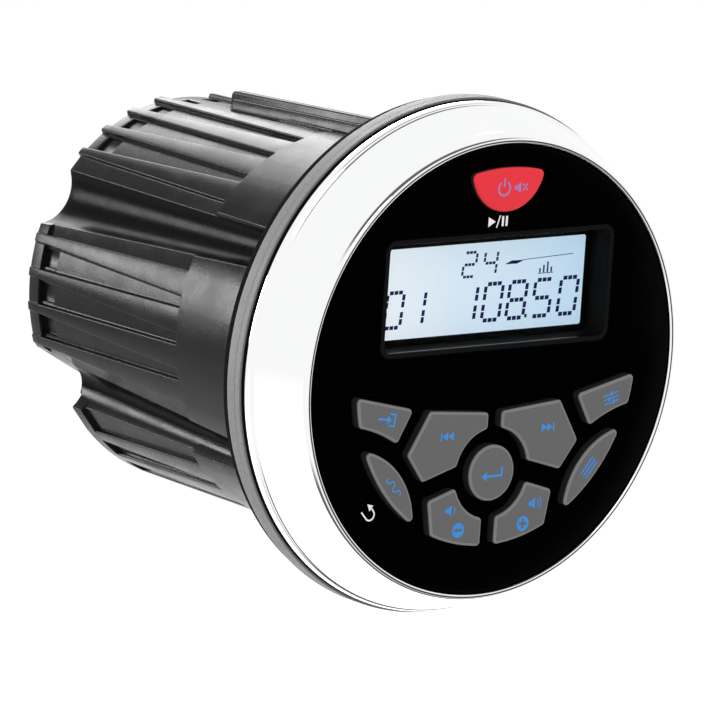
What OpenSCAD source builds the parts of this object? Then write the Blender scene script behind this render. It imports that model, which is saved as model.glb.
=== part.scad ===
// Round marine receiver for a hole in a dashboard.
// The face looks along -Y, the housing runs back along +Y, and +Z is up.
// The origin is on the axis, in the plane where the gasket meets the dashboard.
// Each module is drawn with its own Z pointing forward out of the face, and stand() turns it.

/* [Panel joint] */
// Diameter of the hole in the dashboard
hole_d = 88.9; // [86:0.1:94]
// Gap between the tallest fin and the edge of that hole
hole_gap = 0.75; // [0.3:0.05:2]
// Reach of the flange and the gasket past the bezel
flange_reach = 0.5; // [0:0.1:4]
// Gap between the lower lobe and the edge of the hole
lobe_gap = 3.05; // [1:0.05:4]
// Thickness of the gasket
gasket_t = 2.5; // [1:0.1:5]
// Thickness of the flange's thin rim
flange_t = 1.6; // [0.6:0.1:2]
// Thickness of the foam seal behind the gasket
foam_t = 2; // [1:0.1:3]
// How far the foam seal stays inside the gasket's edge
foam_inset = 0.6; // [0.3:0.1:3]

/* [Bezel] */
// How far the lip's inner edge lies outside the hole's edge
lip_reach = 0.75; // [0:0.05:4]
// Depth of the bezel from its front lip to the flange
bezel_depth = 14.2; // [14.2:0.1:22]
// Radius of the rolled front lip
bezel_roll_r = 2.2; // [1.2:0.1:3]
// How much the bezel widens from its lip to the flare
bezel_widening = 4.2; // [3.4:0.1:7]
// Reach of the flared rear edge past the cone
bezel_flare = 1.5; // [0.6:0.1:3]
// Height of the flared rear edge
bezel_flare_h = 3.2; // [2:0.1:5]
// Wall of the bezel
bezel_wall = 1.6; // [0.8:0.1:2]

/* [Face] */
// Thickness of the face panel
face_t = 2; // [1.2:0.1:3]
// Depth of the face below the bezel's lip
face_drop = 0.3; // [0:0.1:1]
// Bevel round the edge of the face panel
face_bevel = 0.6; // [0.2:0.1:1]
// Margin between the lip and the display's upper corners
display_margin = 7.15; // [6.6:0.05:10]
// Height of the display opening
display_h = 21.4; // [16:0.2:22]
// Margin between the lip and the display's top edge
display_top_margin = 18.9; // [18.2:0.1:20]
// Radius of the display opening's corners
display_corner_r = 1.6; // [0.5:0.1:3]
// Wall of the display shroud
shroud_wall = 0.9; // [0.6:0.1:1.4]
// Width of the shroud's foot round its tube
shroud_foot = 1; // [0.6:0.1:1.2]
// Thickness of the clear window
window_t = 1; // [0.6:0.1:1.5]
// Depth of the window below the face
window_drop = 0.5; // [0.2:0.1:1]

/* [Buttons] */
// How far the keypad buttons stand out of the face
key_h = 1.85; // [0.9:0.05:3]
// How far the power button stands out of the face
power_h = 1; // [0.9:0.05:3]
// Travel of every button
key_travel = 0.8; // [0.3:0.05:0.85]
// Gap round a button in its opening
key_gap = 0.3; // [0.15:0.05:0.5]
// Width of the rim that keeps a button behind the face
key_rim = 0.9; // [0.6:0.05:1.1]
// Thickness of that rim
key_rim_t = 1; // [0.6:0.1:1.4]
// Step of the bevel round a button's top
key_bevel = 0.35; // [0.1:0.05:0.6]
// Margin between the lip and the outer edge of the keypad
keypad_margin = 10.5; // [9.5:0.1:11.5]
// Margin between the lip and the top of the power button
power_margin = 5; // [4.5:0.1:7]
// Radius of the power button's lower curve
power_r = 9; // [7:0.1:11]
// Radius of the round button
enter_r = 5.6; // [4:0.1:6.4]
// Width of the ring between the round button and its neighbours
enter_gap = 3.4; // [2.6:0.1:4]
// Margin between the round button's middle and the keypad's lower edge
enter_margin = 14.5; // [14:0.1:15]
// Radius of the inner curve of the two lens shaped buttons
lens_r = 16.3; // [15.4:0.1:16.8]

/* [Housing] */
// Length of the housing behind the dashboard
body_len = 85.7; // [80:0.1:120]
// How far the lower lobe bulges past the rest of the housing
lobe_bulge = 1.9; // [1:0.1:3]
// How much the housing narrows towards its back end
body_draft = 2.7; // [0.5:0.1:4]
// Wall at the bottom of the scallops
body_wall = 2.2; // [1.6:0.1:3]
// Wall of the housing at its back end
side_wall = 3.4; // [2.8:0.1:5]
// Thickness of the housing's end wall
end_wall = 5; // [4.4:0.1:7]
// How much the lower lobe narrows towards its back end
lobe_draft = 0.7; // [0.2:0.1:1.5]
// How much shorter the lower lobe is than the housing
lobe_step = 12.5; // [6:0.1:20]
// Distance from the axis to the flats that cut the bottom short behind the lower lobe
step_r = 28.2; // [28:0.1:28.6]
// Angle of the upper scallops above the sides at the back end
scallop_angle = 29.1; // [27:0.1:31]
// How much further up an upper scallop sits at the flange
scallop_turn = 2.2; // [0:0.1:4]
// Radius of an upper scallop at the back end
scallop_back_r = 7.5; // [6:0.1:8]
// Radius of an upper scallop at the flange
scallop_front_r = 3.9; // [3:0.1:5]
// Depth of an upper scallop at the back end
scallop_back_depth = 4.3; // [3:0.1:5]
// Depth of an upper scallop at the flange
scallop_front_depth = 2.8; // [1.5:0.1:4]
// Angle of the lower scallops below the sides at the back end
low_scallop_angle = 27.4; // [26:0.1:29]
// How much further down a lower scallop sits at the flange
low_scallop_turn = 7.9; // [6:0.1:9]
// Radius of a lower scallop at the back end
low_scallop_back_r = 5; // [4.4:0.1:5.6]
// Radius of a lower scallop at the flange
low_scallop_front_r = 2.5; // [2.3:0.1:3.2]
// Depth of a lower scallop at the back end
low_scallop_back_depth = 1.8; // [1.2:0.1:1.8]
// Depth of a lower scallop at the flange
low_scallop_front_depth = 1.2; // [0.8:0.1:2]
// Angle from rib to rib
rib_pitch = 11.05; // [10:0.05:12]
// Depth of the grooves between the ribs
groove_depth = 1; // [0.4:0.1:1.4]
// Width of a groove at the back end
groove_back_w = 5.7; // [4:0.1:6.2]
// Width of a groove at its front end
groove_front_w = 2.2; // [1:0.1:3.5]
// Distance from the flange to a groove's front end
groove_start = 33.7; // [20:0.1:50]
// How far the side lobes' grooves sit below the sides
side_groove_drop = 2; // [0:0.1:3]
// Thickness of the top fin
fin_t = 1.6; // [1:0.1:3]
// Thickness of the fin's shoulder
fin_shoulder_t = 4; // [3:0.1:6]
// Drop of the shoulder below the fin's edge
fin_shoulder_drop = 1.5; // [1:0.1:2.4]
// How much shorter the fin is than the housing
fin_step = 16.4; // [10:0.1:40]
// How much lower the fin is at its back end
fin_fall = 3.7; // [2:0.1:4]

/* [Rear] */
// Margin between the rear cover and the clamp inserts
cover_margin = 0.9; // [0.5:0.1:2]
// Thickness of the rear cover
cover_t = 1.8; // [1.2:0.1:2]
// Width of the ledge that the cover seals on
cover_ledge = 6.3; // [5.6:0.1:8]
// Margin between the cover screws and the cover's edge
cover_screw_margin = 2.2; // [2:0.1:2.4]
// Distance of the clamp inserts from the housing's inner wall
insert_inset = 2.9; // [2.4:0.1:3.6]
// Bore radius of a clamp insert
insert_bore_r = 2; // [1.5:0.05:2.2]
// Length of a clamp insert
insert_len = 8; // [5:0.1:10]
// Bore radius of the cable grommet
grommet_bore_r = 4.5; // [2.5:0.1:5.5]
// Bore radius of the antenna socket
antenna_bore_r = 4; // [3:0.1:4.6]
// Length of the antenna socket's bore
antenna_bore_len = 9; // [6:0.1:12]

/* [Electronics] */
// Thickness of the circuit boards
board_t = 1.6; // [1:0.1:2]
// Height of the posts that carry the front board
post_h = 0.9; // [0.6:0.1:1.4]
// Thickness of the display glass
lcd_t = 2.5; // [1.5:0.1:2.8]
// Thickness of the light guide behind it
backlight_t = 1.8; // [1:0.1:2]
// Height of a switch with its stem
switch_h = 2.2; // [1.6:0.1:2.4]
// Thickness of the keypad mat
mat_t = 0.8; // [0.5:0.1:1]
// Height of the mat's domes
dome_h = 0.8; // [0.4:0.1:1]
// Margin between the main board and the housing's inner wall
main_margin = 8.4; // [7:0.1:11]
// Room behind the main board
main_room = 6.7; // [4:0.1:16]
// Depth of the main board below the axis
main_drop = 5.4; // [4:0.1:7]
// Height of the heat sink above the main board
sink_h = 26; // [20:0.5:28]
// Radius of the filter capacitors
capacitor_r = 5; // [3:0.1:6]
// Height of the filter capacitors
capacitor_h = 16; // [8:0.5:20]

/* [Hidden] */
$fn = 96;
// Overlap that makes cuts clean
eps = 0.05;
// Gap between pieces that slip together
slip = 0.2;
// Room behind a button at the end of its travel
key_room = 0.3;

// Heights forward from the dashboard
rim_back = gasket_t;
rim_front = gasket_t + flange_t;
lip_h = rim_front + bezel_depth;
face_top = lip_h - face_drop;
face_back = face_top - face_t;
base_t = 3;
post_floor = 1;
base_top = rim_back + base_t;
board_back = base_top + post_h;
board_top = board_back + board_t;
lcd_back = board_top + backlight_t;
lcd_top = lcd_back + lcd_t;
mat_gap = 0.1;
mat_back = board_top + switch_h + mat_gap;
mat_top = mat_back + mat_t;
dome_top = mat_top + dome_h;
key_rim_top = face_back - key_room;
key_rim_back = key_rim_top - key_rim_t;
plunger_back = dome_top + key_travel + key_room;
plunger_r = 1.4;

// Radii of the bezel, and of the housing from the hole inwards
lip_r = hole_d / 2 + lip_reach;
bezel_waist_r = lip_r + bezel_widening;
bezel_rear_r = bezel_waist_r + bezel_flare;
flange_r = bezel_rear_r + flange_reach;
lobe_front_r = hole_d / 2 - lobe_gap;
lobe_back_r = lobe_front_r - lobe_draft;
lobe_len = body_len - lobe_step;
body_front_r = lobe_front_r - lobe_bulge;
body_back_r = body_front_r - body_draft;
cavity_r = body_back_r - side_wall;

// Radii of the front frame
barrel_r = lip_r - slip;
barrel_wall = 2.8;
barrel_in_r = barrel_r - barrel_wall;
base_in_r = cavity_r - 3.4;
board_r = barrel_in_r - 2 * slip;
collar_r = hole_d / 2 - hole_gap;
gasket_in_r = collar_r + slip + eps;
foam_in_r = hole_d / 2 + slip;
mid_wall_r = (cavity_r + body_front_r) / 2;

// Screws
screw_r = 1.25;
screw_head_r = 2.1;
screw_head_h = 1.5;
post_r = 3;
post_ring_r = barrel_in_r - 4.7;
post_angles = [58, 122, 230, 310];
housing_screw_angles = [0, 90, 180, 270];
housing_screw_len = 9;
cover_screw_angles = [45, 135, 225, 315];
cover_screw_len = 4.2;

// Sealing rings
seal_r = 0.6;
housing_seal_ring_r = body_front_r - 0.1;

// Button outlines, right hand side, in the plane of the face
keypad_r = lip_r - keypad_margin;
power_top_r = lip_r - power_margin;
power_y = power_top_r + 0.25;
enter_at = [0, enter_margin - keypad_r];
enter_ring_r = enter_r + enter_gap;
// The outlines below are drawn on a keypad of radius 34.7 and follow the real one
pattern = keypad_r / 34.7;
lens_at = pattern * [35.07, -29.48];
function_points = pattern * [[20.45, -6.05], [24.05, -12.65], [36, -7.85], [36, -2.45]];
function_scoop_r = pattern * 28;
function_scoop_at = pattern * [39.2, -36.25];
next_points = pattern * [[1.65, -8], [1.65, -16.2], [17.15, -20.8], [21.3, -15.2], [16.25, -6.77]];
volume_points = pattern * [[1.7, -20.4], [1.7, -37], [13.3, -37], [15.5, -24.7]];

// Where each button presses its switch
power_press = [0, power_y - power_r / 2];
function_press = pattern * [28.2, -7.4];
next_press = pattern * [12.5, -13.2];
lens_press = pattern * [24.2, -20.6];
volume_press = pattern * [8.2, -29.3];
presses = [
    power_press, enter_at,
    function_press, mirrored(function_press),
    next_press, mirrored(next_press),
    lens_press, mirrored(lens_press),
    volume_press, mirrored(volume_press)
];

// Display pieces
display_top = lip_r - display_top_margin;
display_y = display_top - display_h / 2;
display_w = 2 * sqrt(pow(lip_r - display_margin, 2) - pow(display_top, 2));
shroud_w = display_w + 2 * shroud_wall;
shroud_h = display_h + 2 * shroud_wall;
foot_t = 1;
lcd_w = shroud_w + 2 * shroud_foot - 2 * slip;
lcd_h = shroud_h + 2 * shroud_foot - 2 * slip;
strip_h = 1.8;
strip_w = lcd_w - 8;

// Housing slopes
draft = body_draft / body_len;
draft_angle = atan(draft);
scallop_front_at = body_front_r - scallop_front_depth + scallop_front_r;
scallop_back_at = body_back_r - scallop_back_depth + scallop_back_r;
scallop_front = on_ring(scallop_front_at, scallop_angle + scallop_turn);
scallop_back = on_ring(scallop_back_at, scallop_angle);
low_scallop_front_at = body_front_r - low_scallop_front_depth + low_scallop_front_r;
low_scallop_back_at = body_back_r - low_scallop_back_depth + low_scallop_back_r;
low_scallop_front = on_ring(low_scallop_front_at, -low_scallop_angle - low_scallop_turn);
low_scallop_back = on_ring(low_scallop_back_at, -low_scallop_angle);
lobe_edge_angle = low_scallop_angle + 0.65 * low_scallop_turn;
step_flats = [270 - 29.3, 270, 270 + 29.3];
step_lip = 1;
fin_front_r = collar_r - slip;
fin_back_r = fin_front_r - fin_fall;
fin_len = body_len - fin_step;
top_grooves = [for (i = [-4 : 3]) 90 + (i + 0.5) * rib_pitch];
bottom_grooves = [for (i = [-4 : 3]) 270 + (i + 0.5) * rib_pitch];
left_grooves = [for (i = [-1 : 1]) 180 + side_groove_drop + i * rib_pitch];
right_grooves = [for (i = [-1 : 1]) -side_groove_drop + i * rib_pitch];
pocket_back = 3.5;
pocket_len = 4.5;
pocket_depth = 0.6;
rim_drop = 0.3;

// Rear pieces
insert_r = insert_bore_r + 0.8;
insert_boss_r = insert_r + 1.6;
insert_span = 2 * (cavity_r - insert_inset);
cover_r = insert_span / 2 - insert_r - cover_margin;
cover_screw_pcr = cover_r - cover_screw_margin;
cover_opening_r = cover_r - cover_ledge;
cover_seal_ring_r = cover_opening_r + 1.7;
recess_r = cover_r + slip;
spigot_r = cover_opening_r - slip;
spigot_len = 2;
grommet_wall = 2;
grommet_rim = 1.6;
grommet_rim_t = 1.5;
grommet_margin = 1.7;
grommet_at = [0, grommet_bore_r + grommet_wall + grommet_rim + grommet_margin - spigot_r];
antenna_wall = 1.2;
antenna_margin = 3.9;
antenna_at = [0, spigot_r - antenna_bore_r - 2 * antenna_wall - antenna_margin];
antenna_rim_t = 2;
antenna_floor = 1.2;

// Main board and what stands on it
main_front = 6;
main_len = body_len - end_wall - main_front - main_room;
main_half_w = cavity_r - main_margin;
main_top = -main_drop;
main_bottom = main_top - board_t;
rail_t = 2.5;
rail_in = main_half_w - 5;
main_screw_x = main_half_w - 2.6;
main_screw_ends = [8, main_len - 8];
connector_half_w = 14;
connector_h = 6;
connector_split = -2;
connector_len = 8;
sink_half_w = 18;
sink_t = 4;
sink_fin_t = 1.6;
sink_fin_len = 5;
sink_fins = 6;
sink_back = main_front + main_len - sink_fin_len;
chip_half_w = 13;
chip_t = 4.5;
chip_h = 15;
chip_lift = 3;
sink_front = sink_t - sink_back;
chip_front = sink_front + chip_t;
chip_screw_y = main_top + chip_lift + chip_h / 2;
chip_screws = [[-chip_half_w + 3, chip_screw_y], [chip_half_w - 3, chip_screw_y]];
tuner_size = [22, 20, 8];
tuner_at = [10, 38];
choke_at = [-13, 40];
choke_ring_r = 6;
choke_wire_r = 2.6;
capacitor_places = [[-13, 21.5], [0, 21.5], [13, 21.5]];
capacitor_crimp = 0.5;

function mirrored(p) = [-p[0], p[1]];
function edge_normal(p, q) = let (d = q - p) [d[1], -d[0]] / norm(d);
function corner(a, b, c, g) =
    let (m = edge_normal(a, b), n = edge_normal(b, c)) b + g * (m + n) / (1 + m * n);
function grown(points, g) =
    let (n = len(points))
    [for (i = [0 : n - 1]) corner(points[(i + n - 1) % n], points[i], points[(i + 1) % n], g)];
function on_ring(r, a) = [r * cos(a), r * sin(a)];
function body_r_at(depth) = body_front_r - draft * depth;

// Turns a module so that its Z looks out of the face, along -Y
module stand() {
    rotate([90, 0, 0]) children();
}

module tube(outer, inner, low, high) {
    translate([0, 0, low]) difference() {
        cylinder(r = outer, h = high - low);
        translate([0, 0, -eps]) cylinder(r = inner, h = high - low + 2 * eps);
    }
}

module rod(r, low, high) {
    translate([0, 0, low]) cylinder(r = r, h = high - low);
}

module block(half_w, bottom, top, low, high) {
    translate([-half_w, bottom, low]) cube([2 * half_w, top - bottom, high - low]);
}

module prism(low, high) {
    translate([0, 0, low]) linear_extrude(height = high - low) children();
}

module rounded_rect(w, h, r) {
    square([w - 2 * r, h], center = true);
    square([w, h - 2 * r], center = true);
    for (x = [-1, 1], y = [-1, 1]) translate([x * (w / 2 - r), y * (h / 2 - r)]) circle(r = r);
}

module display_area(grow) {
    translate([0, display_y])
        rounded_rect(display_w + 2 * grow, display_h + 2 * grow, display_corner_r + max(grow, 0));
}

// Button outlines, each with a growth for its opening and its rim
module power_area(grow) {
    intersection() {
        circle(r = power_top_r + grow);
        translate([0, power_y]) circle(r = power_r + grow);
    }
}

module enter_area(grow) {
    translate(enter_at) circle(r = enter_r + grow);
}

module function_area(grow) {
    difference() {
        intersection() {
            circle(r = keypad_r + grow);
            polygon(grown(function_points, grow));
        }
        translate(function_scoop_at) circle(r = function_scoop_r - grow);
    }
}

module next_area(grow) {
    difference() {
        polygon(grown(next_points, grow));
        translate(enter_at) circle(r = enter_ring_r - grow);
    }
}

module menu_area(grow) {
    intersection() {
        circle(r = keypad_r + grow);
        translate(lens_at) circle(r = lens_r + grow);
    }
}

module volume_area(grow) {
    difference() {
        intersection() {
            circle(r = keypad_r + grow);
            polygon(grown(volume_points, grow));
        }
        translate(enter_at) circle(r = enter_ring_r - grow);
    }
}

module both_sides() {
    children();
    mirror([1, 0, 0]) children();
}

module all_key_areas(grow) {
    power_area(grow);
    enter_area(grow);
    both_sides() {
        function_area(grow);
        next_area(grow);
        menu_area(grow);
        volume_area(grow);
    }
}

// One button: bevelled top, shaft in its opening, rim behind the face and a plunger
module cap(proud) {
    prism(key_rim_top - eps, face_top + proud - key_bevel) children(0);
    prism(face_top + proud - key_bevel - eps, face_top + proud) children(1);
    prism(key_rim_back, key_rim_top) children(2);
}

module plunger(at) {
    translate(at) rod(plunger_r, plunger_back, key_rim_back + eps);
}

module screw(length, head_r = screw_head_r, head_h = screw_head_h) {
    rod(screw_r, -length, eps);
    rod(head_r, 0, head_h);
}

// A tapered round groove between two points on the housing's ends
module scallop(front, back, front_r, back_r) {
    run = back - front;
    length = norm([run[0], run[1], body_len]);
    reach = 2;
    translate([front[0], front[1], 0]) rotate([180 + asin(run[1] / length), -atan(run[0] / body_len), 0])
        cylinder(h = length + reach, r1 = front_r, r2 = back_r + (back_r - front_r) * reach / length);
}

module scallop_cut(extra) {
    both_sides() {
        scallop(scallop_front, scallop_back, scallop_front_r + extra, scallop_back_r + extra);
        scallop(
            low_scallop_front, low_scallop_back, low_scallop_front_r + extra, low_scallop_back_r + extra
        );
    }
}

// Flats that cut the housing short behind the lower lobe
module rear_step(extra) {
    reach = 30;
    for (a = step_flats) rotate(a) translate([step_r - extra, -reach, -body_len - eps])
        cube([reach, 2 * reach, lobe_step - step_lip + extra + eps]);
}

// A wedge groove, narrow at the front and open at the back
module groove_cut(angle, front_r, slope_angle, length) {
    reach = 6;
    rotate(angle) translate([front_r, 0, -groove_start]) rotate([0, slope_angle, 0])
        rotate([90, 0, 90]) linear_extrude(height = reach) polygon([
            [-groove_front_w / 2, 0],
            [groove_front_w / 2, 0],
            [groove_back_w / 2, groove_start - length - reach],
            [-groove_back_w / 2, groove_start - length - reach]
        ]);
}

// A strip beside a scallop: one slanted edge, open on the scallop's side
module strip_cut(angle, side, front_r, slope_angle, length) {
    reach = 6;
    open_w = groove_back_w;
    rotate(angle) translate([front_r, 0, -groove_start]) rotate([0, slope_angle, 0])
        rotate([90, 0, 90]) linear_extrude(height = reach) polygon([
            [-side * groove_front_w / 2, 0],
            [side * open_w, 0],
            [side * open_w, groove_start - length - reach],
            [-side * groove_back_w / 2, groove_start - length - reach]
        ]);
}

// A flat behind the fin, as deep as the grooves
module fin_end_cut(front_r) {
    reach = 6;
    start = fin_len - 1;
    rotate(90) translate([front_r, 0, -groove_start]) rotate([0, draft_angle, 0])
        translate([0, -groove_back_w / 2, groove_start - body_len - reach])
            cube([reach, groove_back_w, body_len + reach - start]);
}

// Grooves and strips of the side lobes, which end at a rim just below the ribs
module side_lobe_cuts(front_r) {
    reach = 12;
    difference() {
        union() {
            for (a = concat(left_grooves, right_grooves)) groove_cut(a, front_r, draft_angle, body_len);
            for (middle = [180 + side_groove_drop, -side_groove_drop], side = [-1, 1])
                strip_cut(middle + side * 2 * rib_pitch, side, front_r, draft_angle, body_len);
        }
        rod(body_back_r - rim_drop, -body_len - reach, pocket_back - body_len);
    }
}

module pocket_cut(angle) {
    depth = body_len - pocket_back - pocket_len;
    rotate(angle) translate([
        body_r_at(body_len - pocket_back) - groove_depth - pocket_depth, -groove_back_w / 3, -depth
    ]) mirror([0, 0, 1]) cube([groove_back_w, 2 * groove_back_w / 3, pocket_len]);
}

module body_grooves() {
    floor_r = body_r_at(groove_start) - groove_depth;
    for (a = top_grooves) groove_cut(a, floor_r, draft_angle, body_len);
    side_lobe_cuts(floor_r);
    for (a = concat(top_grooves, left_grooves, right_grooves)) pocket_cut(a);
    fin_end_cut(floor_r);
    for (side = [-1, 1])
        strip_cut(90 + side * 4.5 * rib_pitch, side, floor_r, draft_angle, body_len);
}

module lobe_grooves() {
    slope = lobe_draft / lobe_len;
    floor_r = lobe_front_r - slope * groove_start - groove_depth;
    for (a = bottom_grooves) groove_cut(a, floor_r, atan(slope), lobe_len);
    for (side = [-1, 1])
        strip_cut(270 + side * 4.5 * rib_pitch, side, floor_r, atan(slope), lobe_len);
}

module lower_lobe() {
    reach = 60;
    intersection() {
        translate([0, 0, -lobe_len]) cylinder(h = lobe_len, r1 = lobe_back_r, r2 = lobe_front_r);
        translate([0, 0, -lobe_len - eps]) linear_extrude(height = lobe_len + 2 * eps) polygon([
            [0, 0],
            on_ring(reach, 180 + lobe_edge_angle),
            on_ring(reach, 270),
            on_ring(reach, 360 - lobe_edge_angle)
        ]);
    }
}

module top_fin() {
    root = cavity_r + body_wall;
    rise = (fin_front_r - fin_back_r) / fin_len;
    shoulder_len = fin_len - 2;
    translate([fin_t / 2, 0, 0]) rotate([0, -90, 0]) linear_extrude(height = fin_t) polygon([
        [0, root], [0, fin_front_r], [-fin_len, fin_back_r], [-fin_len, root]
    ]);
    translate([fin_shoulder_t / 2, 0, 0]) rotate([0, -90, 0]) linear_extrude(height = fin_shoulder_t)
        polygon([
            [0, root],
            [0, fin_front_r - fin_shoulder_drop],
            [-shoulder_len, fin_front_r - rise * shoulder_len - fin_shoulder_drop],
            [-shoulder_len, root]
        ]);
}

module cavity() {
    difference() {
        rod(cavity_r, end_wall - body_len, rim_back + eps);
        scallop_cut(body_wall);
        rear_step(body_wall);
        for (side = [-1, 1]) {
            translate([side * insert_span / 2, 0, 0])
                rod(insert_boss_r, -body_len, -body_len + insert_len + insert_boss_r);
            rail(side);
        }
    }
}

module rail(side) {
    outer = cavity_r + 1;
    translate([side > 0 ? rail_in : -outer, main_bottom - rail_t, -main_front - main_len])
        cube([outer - rail_in, rail_t, main_len]);
}

module rear_housing() {
    color("#1b1b1c") stand() difference() {
        union() {
            rod(collar_r, -eps, rim_back);
            difference() {
                translate([0, 0, -body_len])
                    cylinder(h = body_len, r1 = body_back_r, r2 = body_front_r);
                body_grooves();
            }
            difference() {
                lower_lobe();
                lobe_grooves();
            }
            top_fin();
        }
        scallop_cut(0);
        rear_step(0);
        cavity();
        rod(cover_opening_r, -body_len - eps, end_wall - body_len + eps);
        rod(recess_r, -body_len - eps, cover_t - body_len);
        tube(
            cover_seal_ring_r + seal_r, cover_seal_ring_r - seal_r,
            cover_t - body_len - eps, cover_t - body_len + 2 * seal_r - eps
        );
        tube(
            housing_seal_ring_r + seal_r, housing_seal_ring_r - seal_r,
            rim_back - 2 * seal_r, rim_back + eps
        );
        for (a = cover_screw_angles) translate(on_ring(cover_screw_pcr, a))
            rod(screw_r, -body_len, cover_screw_len - body_len);
        for (a = housing_screw_angles) translate(on_ring(mid_wall_r, a))
            rod(screw_r, base_top - screw_head_h - housing_screw_len, rim_back + eps);
        for (side = [-1, 1]) {
            translate([side * insert_span / 2, 0, 0])
                rod(insert_r, -body_len - eps, insert_len - body_len);
            for (d = main_screw_ends) translate([side * main_screw_x, main_bottom, -main_front - d])
                rotate([90, 0, 0]) rod(screw_r, -eps, rail_t + eps);
        }
    }
}

module rear_cover() {
    color("#202021") stand() difference() {
        union() {
            rod(cover_r, -body_len, cover_t - body_len);
            rod(spigot_r, -body_len, cover_t + spigot_len - body_len);
        }
        for (a = cover_screw_angles) translate(on_ring(cover_screw_pcr, a))
            rod(screw_r, -body_len - eps, cover_t - body_len + eps);
        translate(grommet_at)
            rod(grommet_bore_r + grommet_wall, -body_len - eps, cover_t + spigot_len - body_len + eps);
        translate(antenna_at)
            rod(antenna_bore_r + antenna_wall, -body_len - eps, cover_t + spigot_len - body_len + eps);
    }
}

module cover_seal() {
    color("#2c2c2c") stand() translate([0, 0, cover_t - body_len + seal_r])
        rotate_extrude() translate([cover_seal_ring_r, 0]) circle(r = seal_r - eps);
}

module cover_screws() {
    color("#8d8f92") stand() for (a = cover_screw_angles) translate(on_ring(cover_screw_pcr, a))
        translate([0, 0, -body_len]) mirror([0, 0, 1]) screw(cover_screw_len - eps);
}

module cable_grommet() {
    outer = grommet_bore_r + grommet_wall;
    through = cover_t + spigot_len;
    color("#262626") stand() translate(grommet_at) translate([0, 0, -body_len]) difference() {
        union() {
            rod(outer, 0, through);
            rod(outer + grommet_rim, -grommet_rim_t, 0);
            rod(outer + grommet_rim, through, through + grommet_rim_t);
        }
        rod(grommet_bore_r, -grommet_rim_t - eps, through + grommet_rim_t + eps);
    }
}

module antenna_socket() {
    outer = antenna_bore_r + antenna_wall;
    color("#b9bbbf") stand() translate(antenna_at) translate([0, 0, -body_len]) difference() {
        union() {
            rod(outer, 0, antenna_bore_len + antenna_floor - antenna_rim_t);
            rod(outer + antenna_wall, -antenna_rim_t, 0);
        }
        rod(antenna_bore_r, -antenna_rim_t - eps, antenna_bore_len - antenna_rim_t);
    }
}

module clamp_inserts() {
    color("#c9a24a") stand() for (side = [-1, 1]) translate([side * insert_span / 2, 0, 0])
        tube(insert_r, insert_bore_r, -body_len, insert_len - body_len);
}

module front_frame() {
    color("#2a2a2b") stand() difference() {
        union() {
            tube(flange_r, base_in_r, rim_back, rim_front);
            tube(barrel_r, base_in_r, rim_back, base_top);
            tube(barrel_r, barrel_in_r, rim_back, face_back);
            for (a = post_angles) translate(on_ring(post_ring_r, a)) rod(post_r, rim_back, board_back);
        }
        for (a = post_angles) translate(on_ring(post_ring_r, a))
            rod(screw_r, rim_back + post_floor, board_back + eps);
        for (a = housing_screw_angles) translate(on_ring(mid_wall_r, a)) {
            rod(screw_r, rim_back - eps, base_top + eps);
            rod(screw_head_r + slip, base_top - screw_head_h, base_top + eps);
        }
    }
}

module panel_gasket() {
    color("#8a8a8b") stand() tube(flange_r, gasket_in_r, 0, gasket_t);
}

module foam_seal() {
    color("#161616") stand() tube(flange_r - foam_inset, foam_in_r, -foam_t, 0);
}

module housing_seal() {
    color("#2c2c2c") stand() translate([0, 0, rim_back - seal_r])
        rotate_extrude() translate([housing_seal_ring_r, 0]) circle(r = seal_r - eps);
}

module housing_screws() {
    color("#8d8f92") stand() for (a = housing_screw_angles) translate(on_ring(mid_wall_r, a))
        translate([0, 0, base_top - screw_head_h]) screw(housing_screw_len - eps);
}

module chrome_bezel() {
    flare_foot = rim_front + bezel_flare_h;
    roll_at = lip_h - bezel_roll_r;
    roll_end = 78;
    skirt_in = lip_r + slip;
    color("#e8e9ea") stand() rotate_extrude() polygon(concat(
        [[lip_r, roll_at - bezel_wall]],
        [for (a = [0 : 6 : roll_end]) [lip_r + bezel_roll_r * sin(a), roll_at + bezel_roll_r * cos(a)]],
        [
            [bezel_waist_r, flare_foot],
            [(bezel_waist_r + bezel_rear_r) / 2, flare_foot - bezel_flare_h / 8],
            [bezel_rear_r, flare_foot - bezel_flare_h / 2],
            [bezel_rear_r, rim_front],
            [bezel_waist_r - bezel_wall, rim_front],
            [bezel_waist_r - bezel_wall, flare_foot],
            [skirt_in + bezel_wall / 4, roll_at - bezel_wall]
        ]
    ));
}

module face_panel() {
    color("#0b0b0c") stand() difference() {
        union() {
            rod(barrel_r, face_back, face_top - face_bevel);
            translate([0, 0, face_top - face_bevel])
                cylinder(h = face_bevel, r1 = barrel_r, r2 = barrel_r - 2 * face_bevel);
        }
        prism(face_back - eps, face_top + eps) all_key_areas(key_gap);
        prism(face_back - eps, face_top + eps) display_area(shroud_wall + slip / 2);
    }
}

module display_window() {
    color([0.85, 0.9, 0.95, 0.35]) stand()
        prism(face_top - window_drop - window_t, face_top - window_drop) display_area(-slip / 2);
}

module display_shroud() {
    tube_top = face_top - slip / 2;
    color("#232324") stand() difference() {
        union() {
            prism(lcd_top, tube_top) display_area(shroud_wall);
            prism(lcd_top, lcd_top + foot_t) translate([0, display_y])
                square([shroud_w + 2 * shroud_foot, shroud_h + 2 * shroud_foot], center = true);
        }
        prism(lcd_top - eps, tube_top + eps) display_area(0);
    }
}

module lcd_panel() {
    color("#d9ecfb") stand() prism(lcd_back, lcd_top) translate([0, display_y])
        square([lcd_w, lcd_h], center = true);
}

module lcd_backlight() {
    color("#f3f6f8") stand() prism(board_top, lcd_back)
        translate([0, display_y + strip_h / 2 + slip])
            square([lcd_w, lcd_h - strip_h - 2 * slip], center = true);
}

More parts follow.
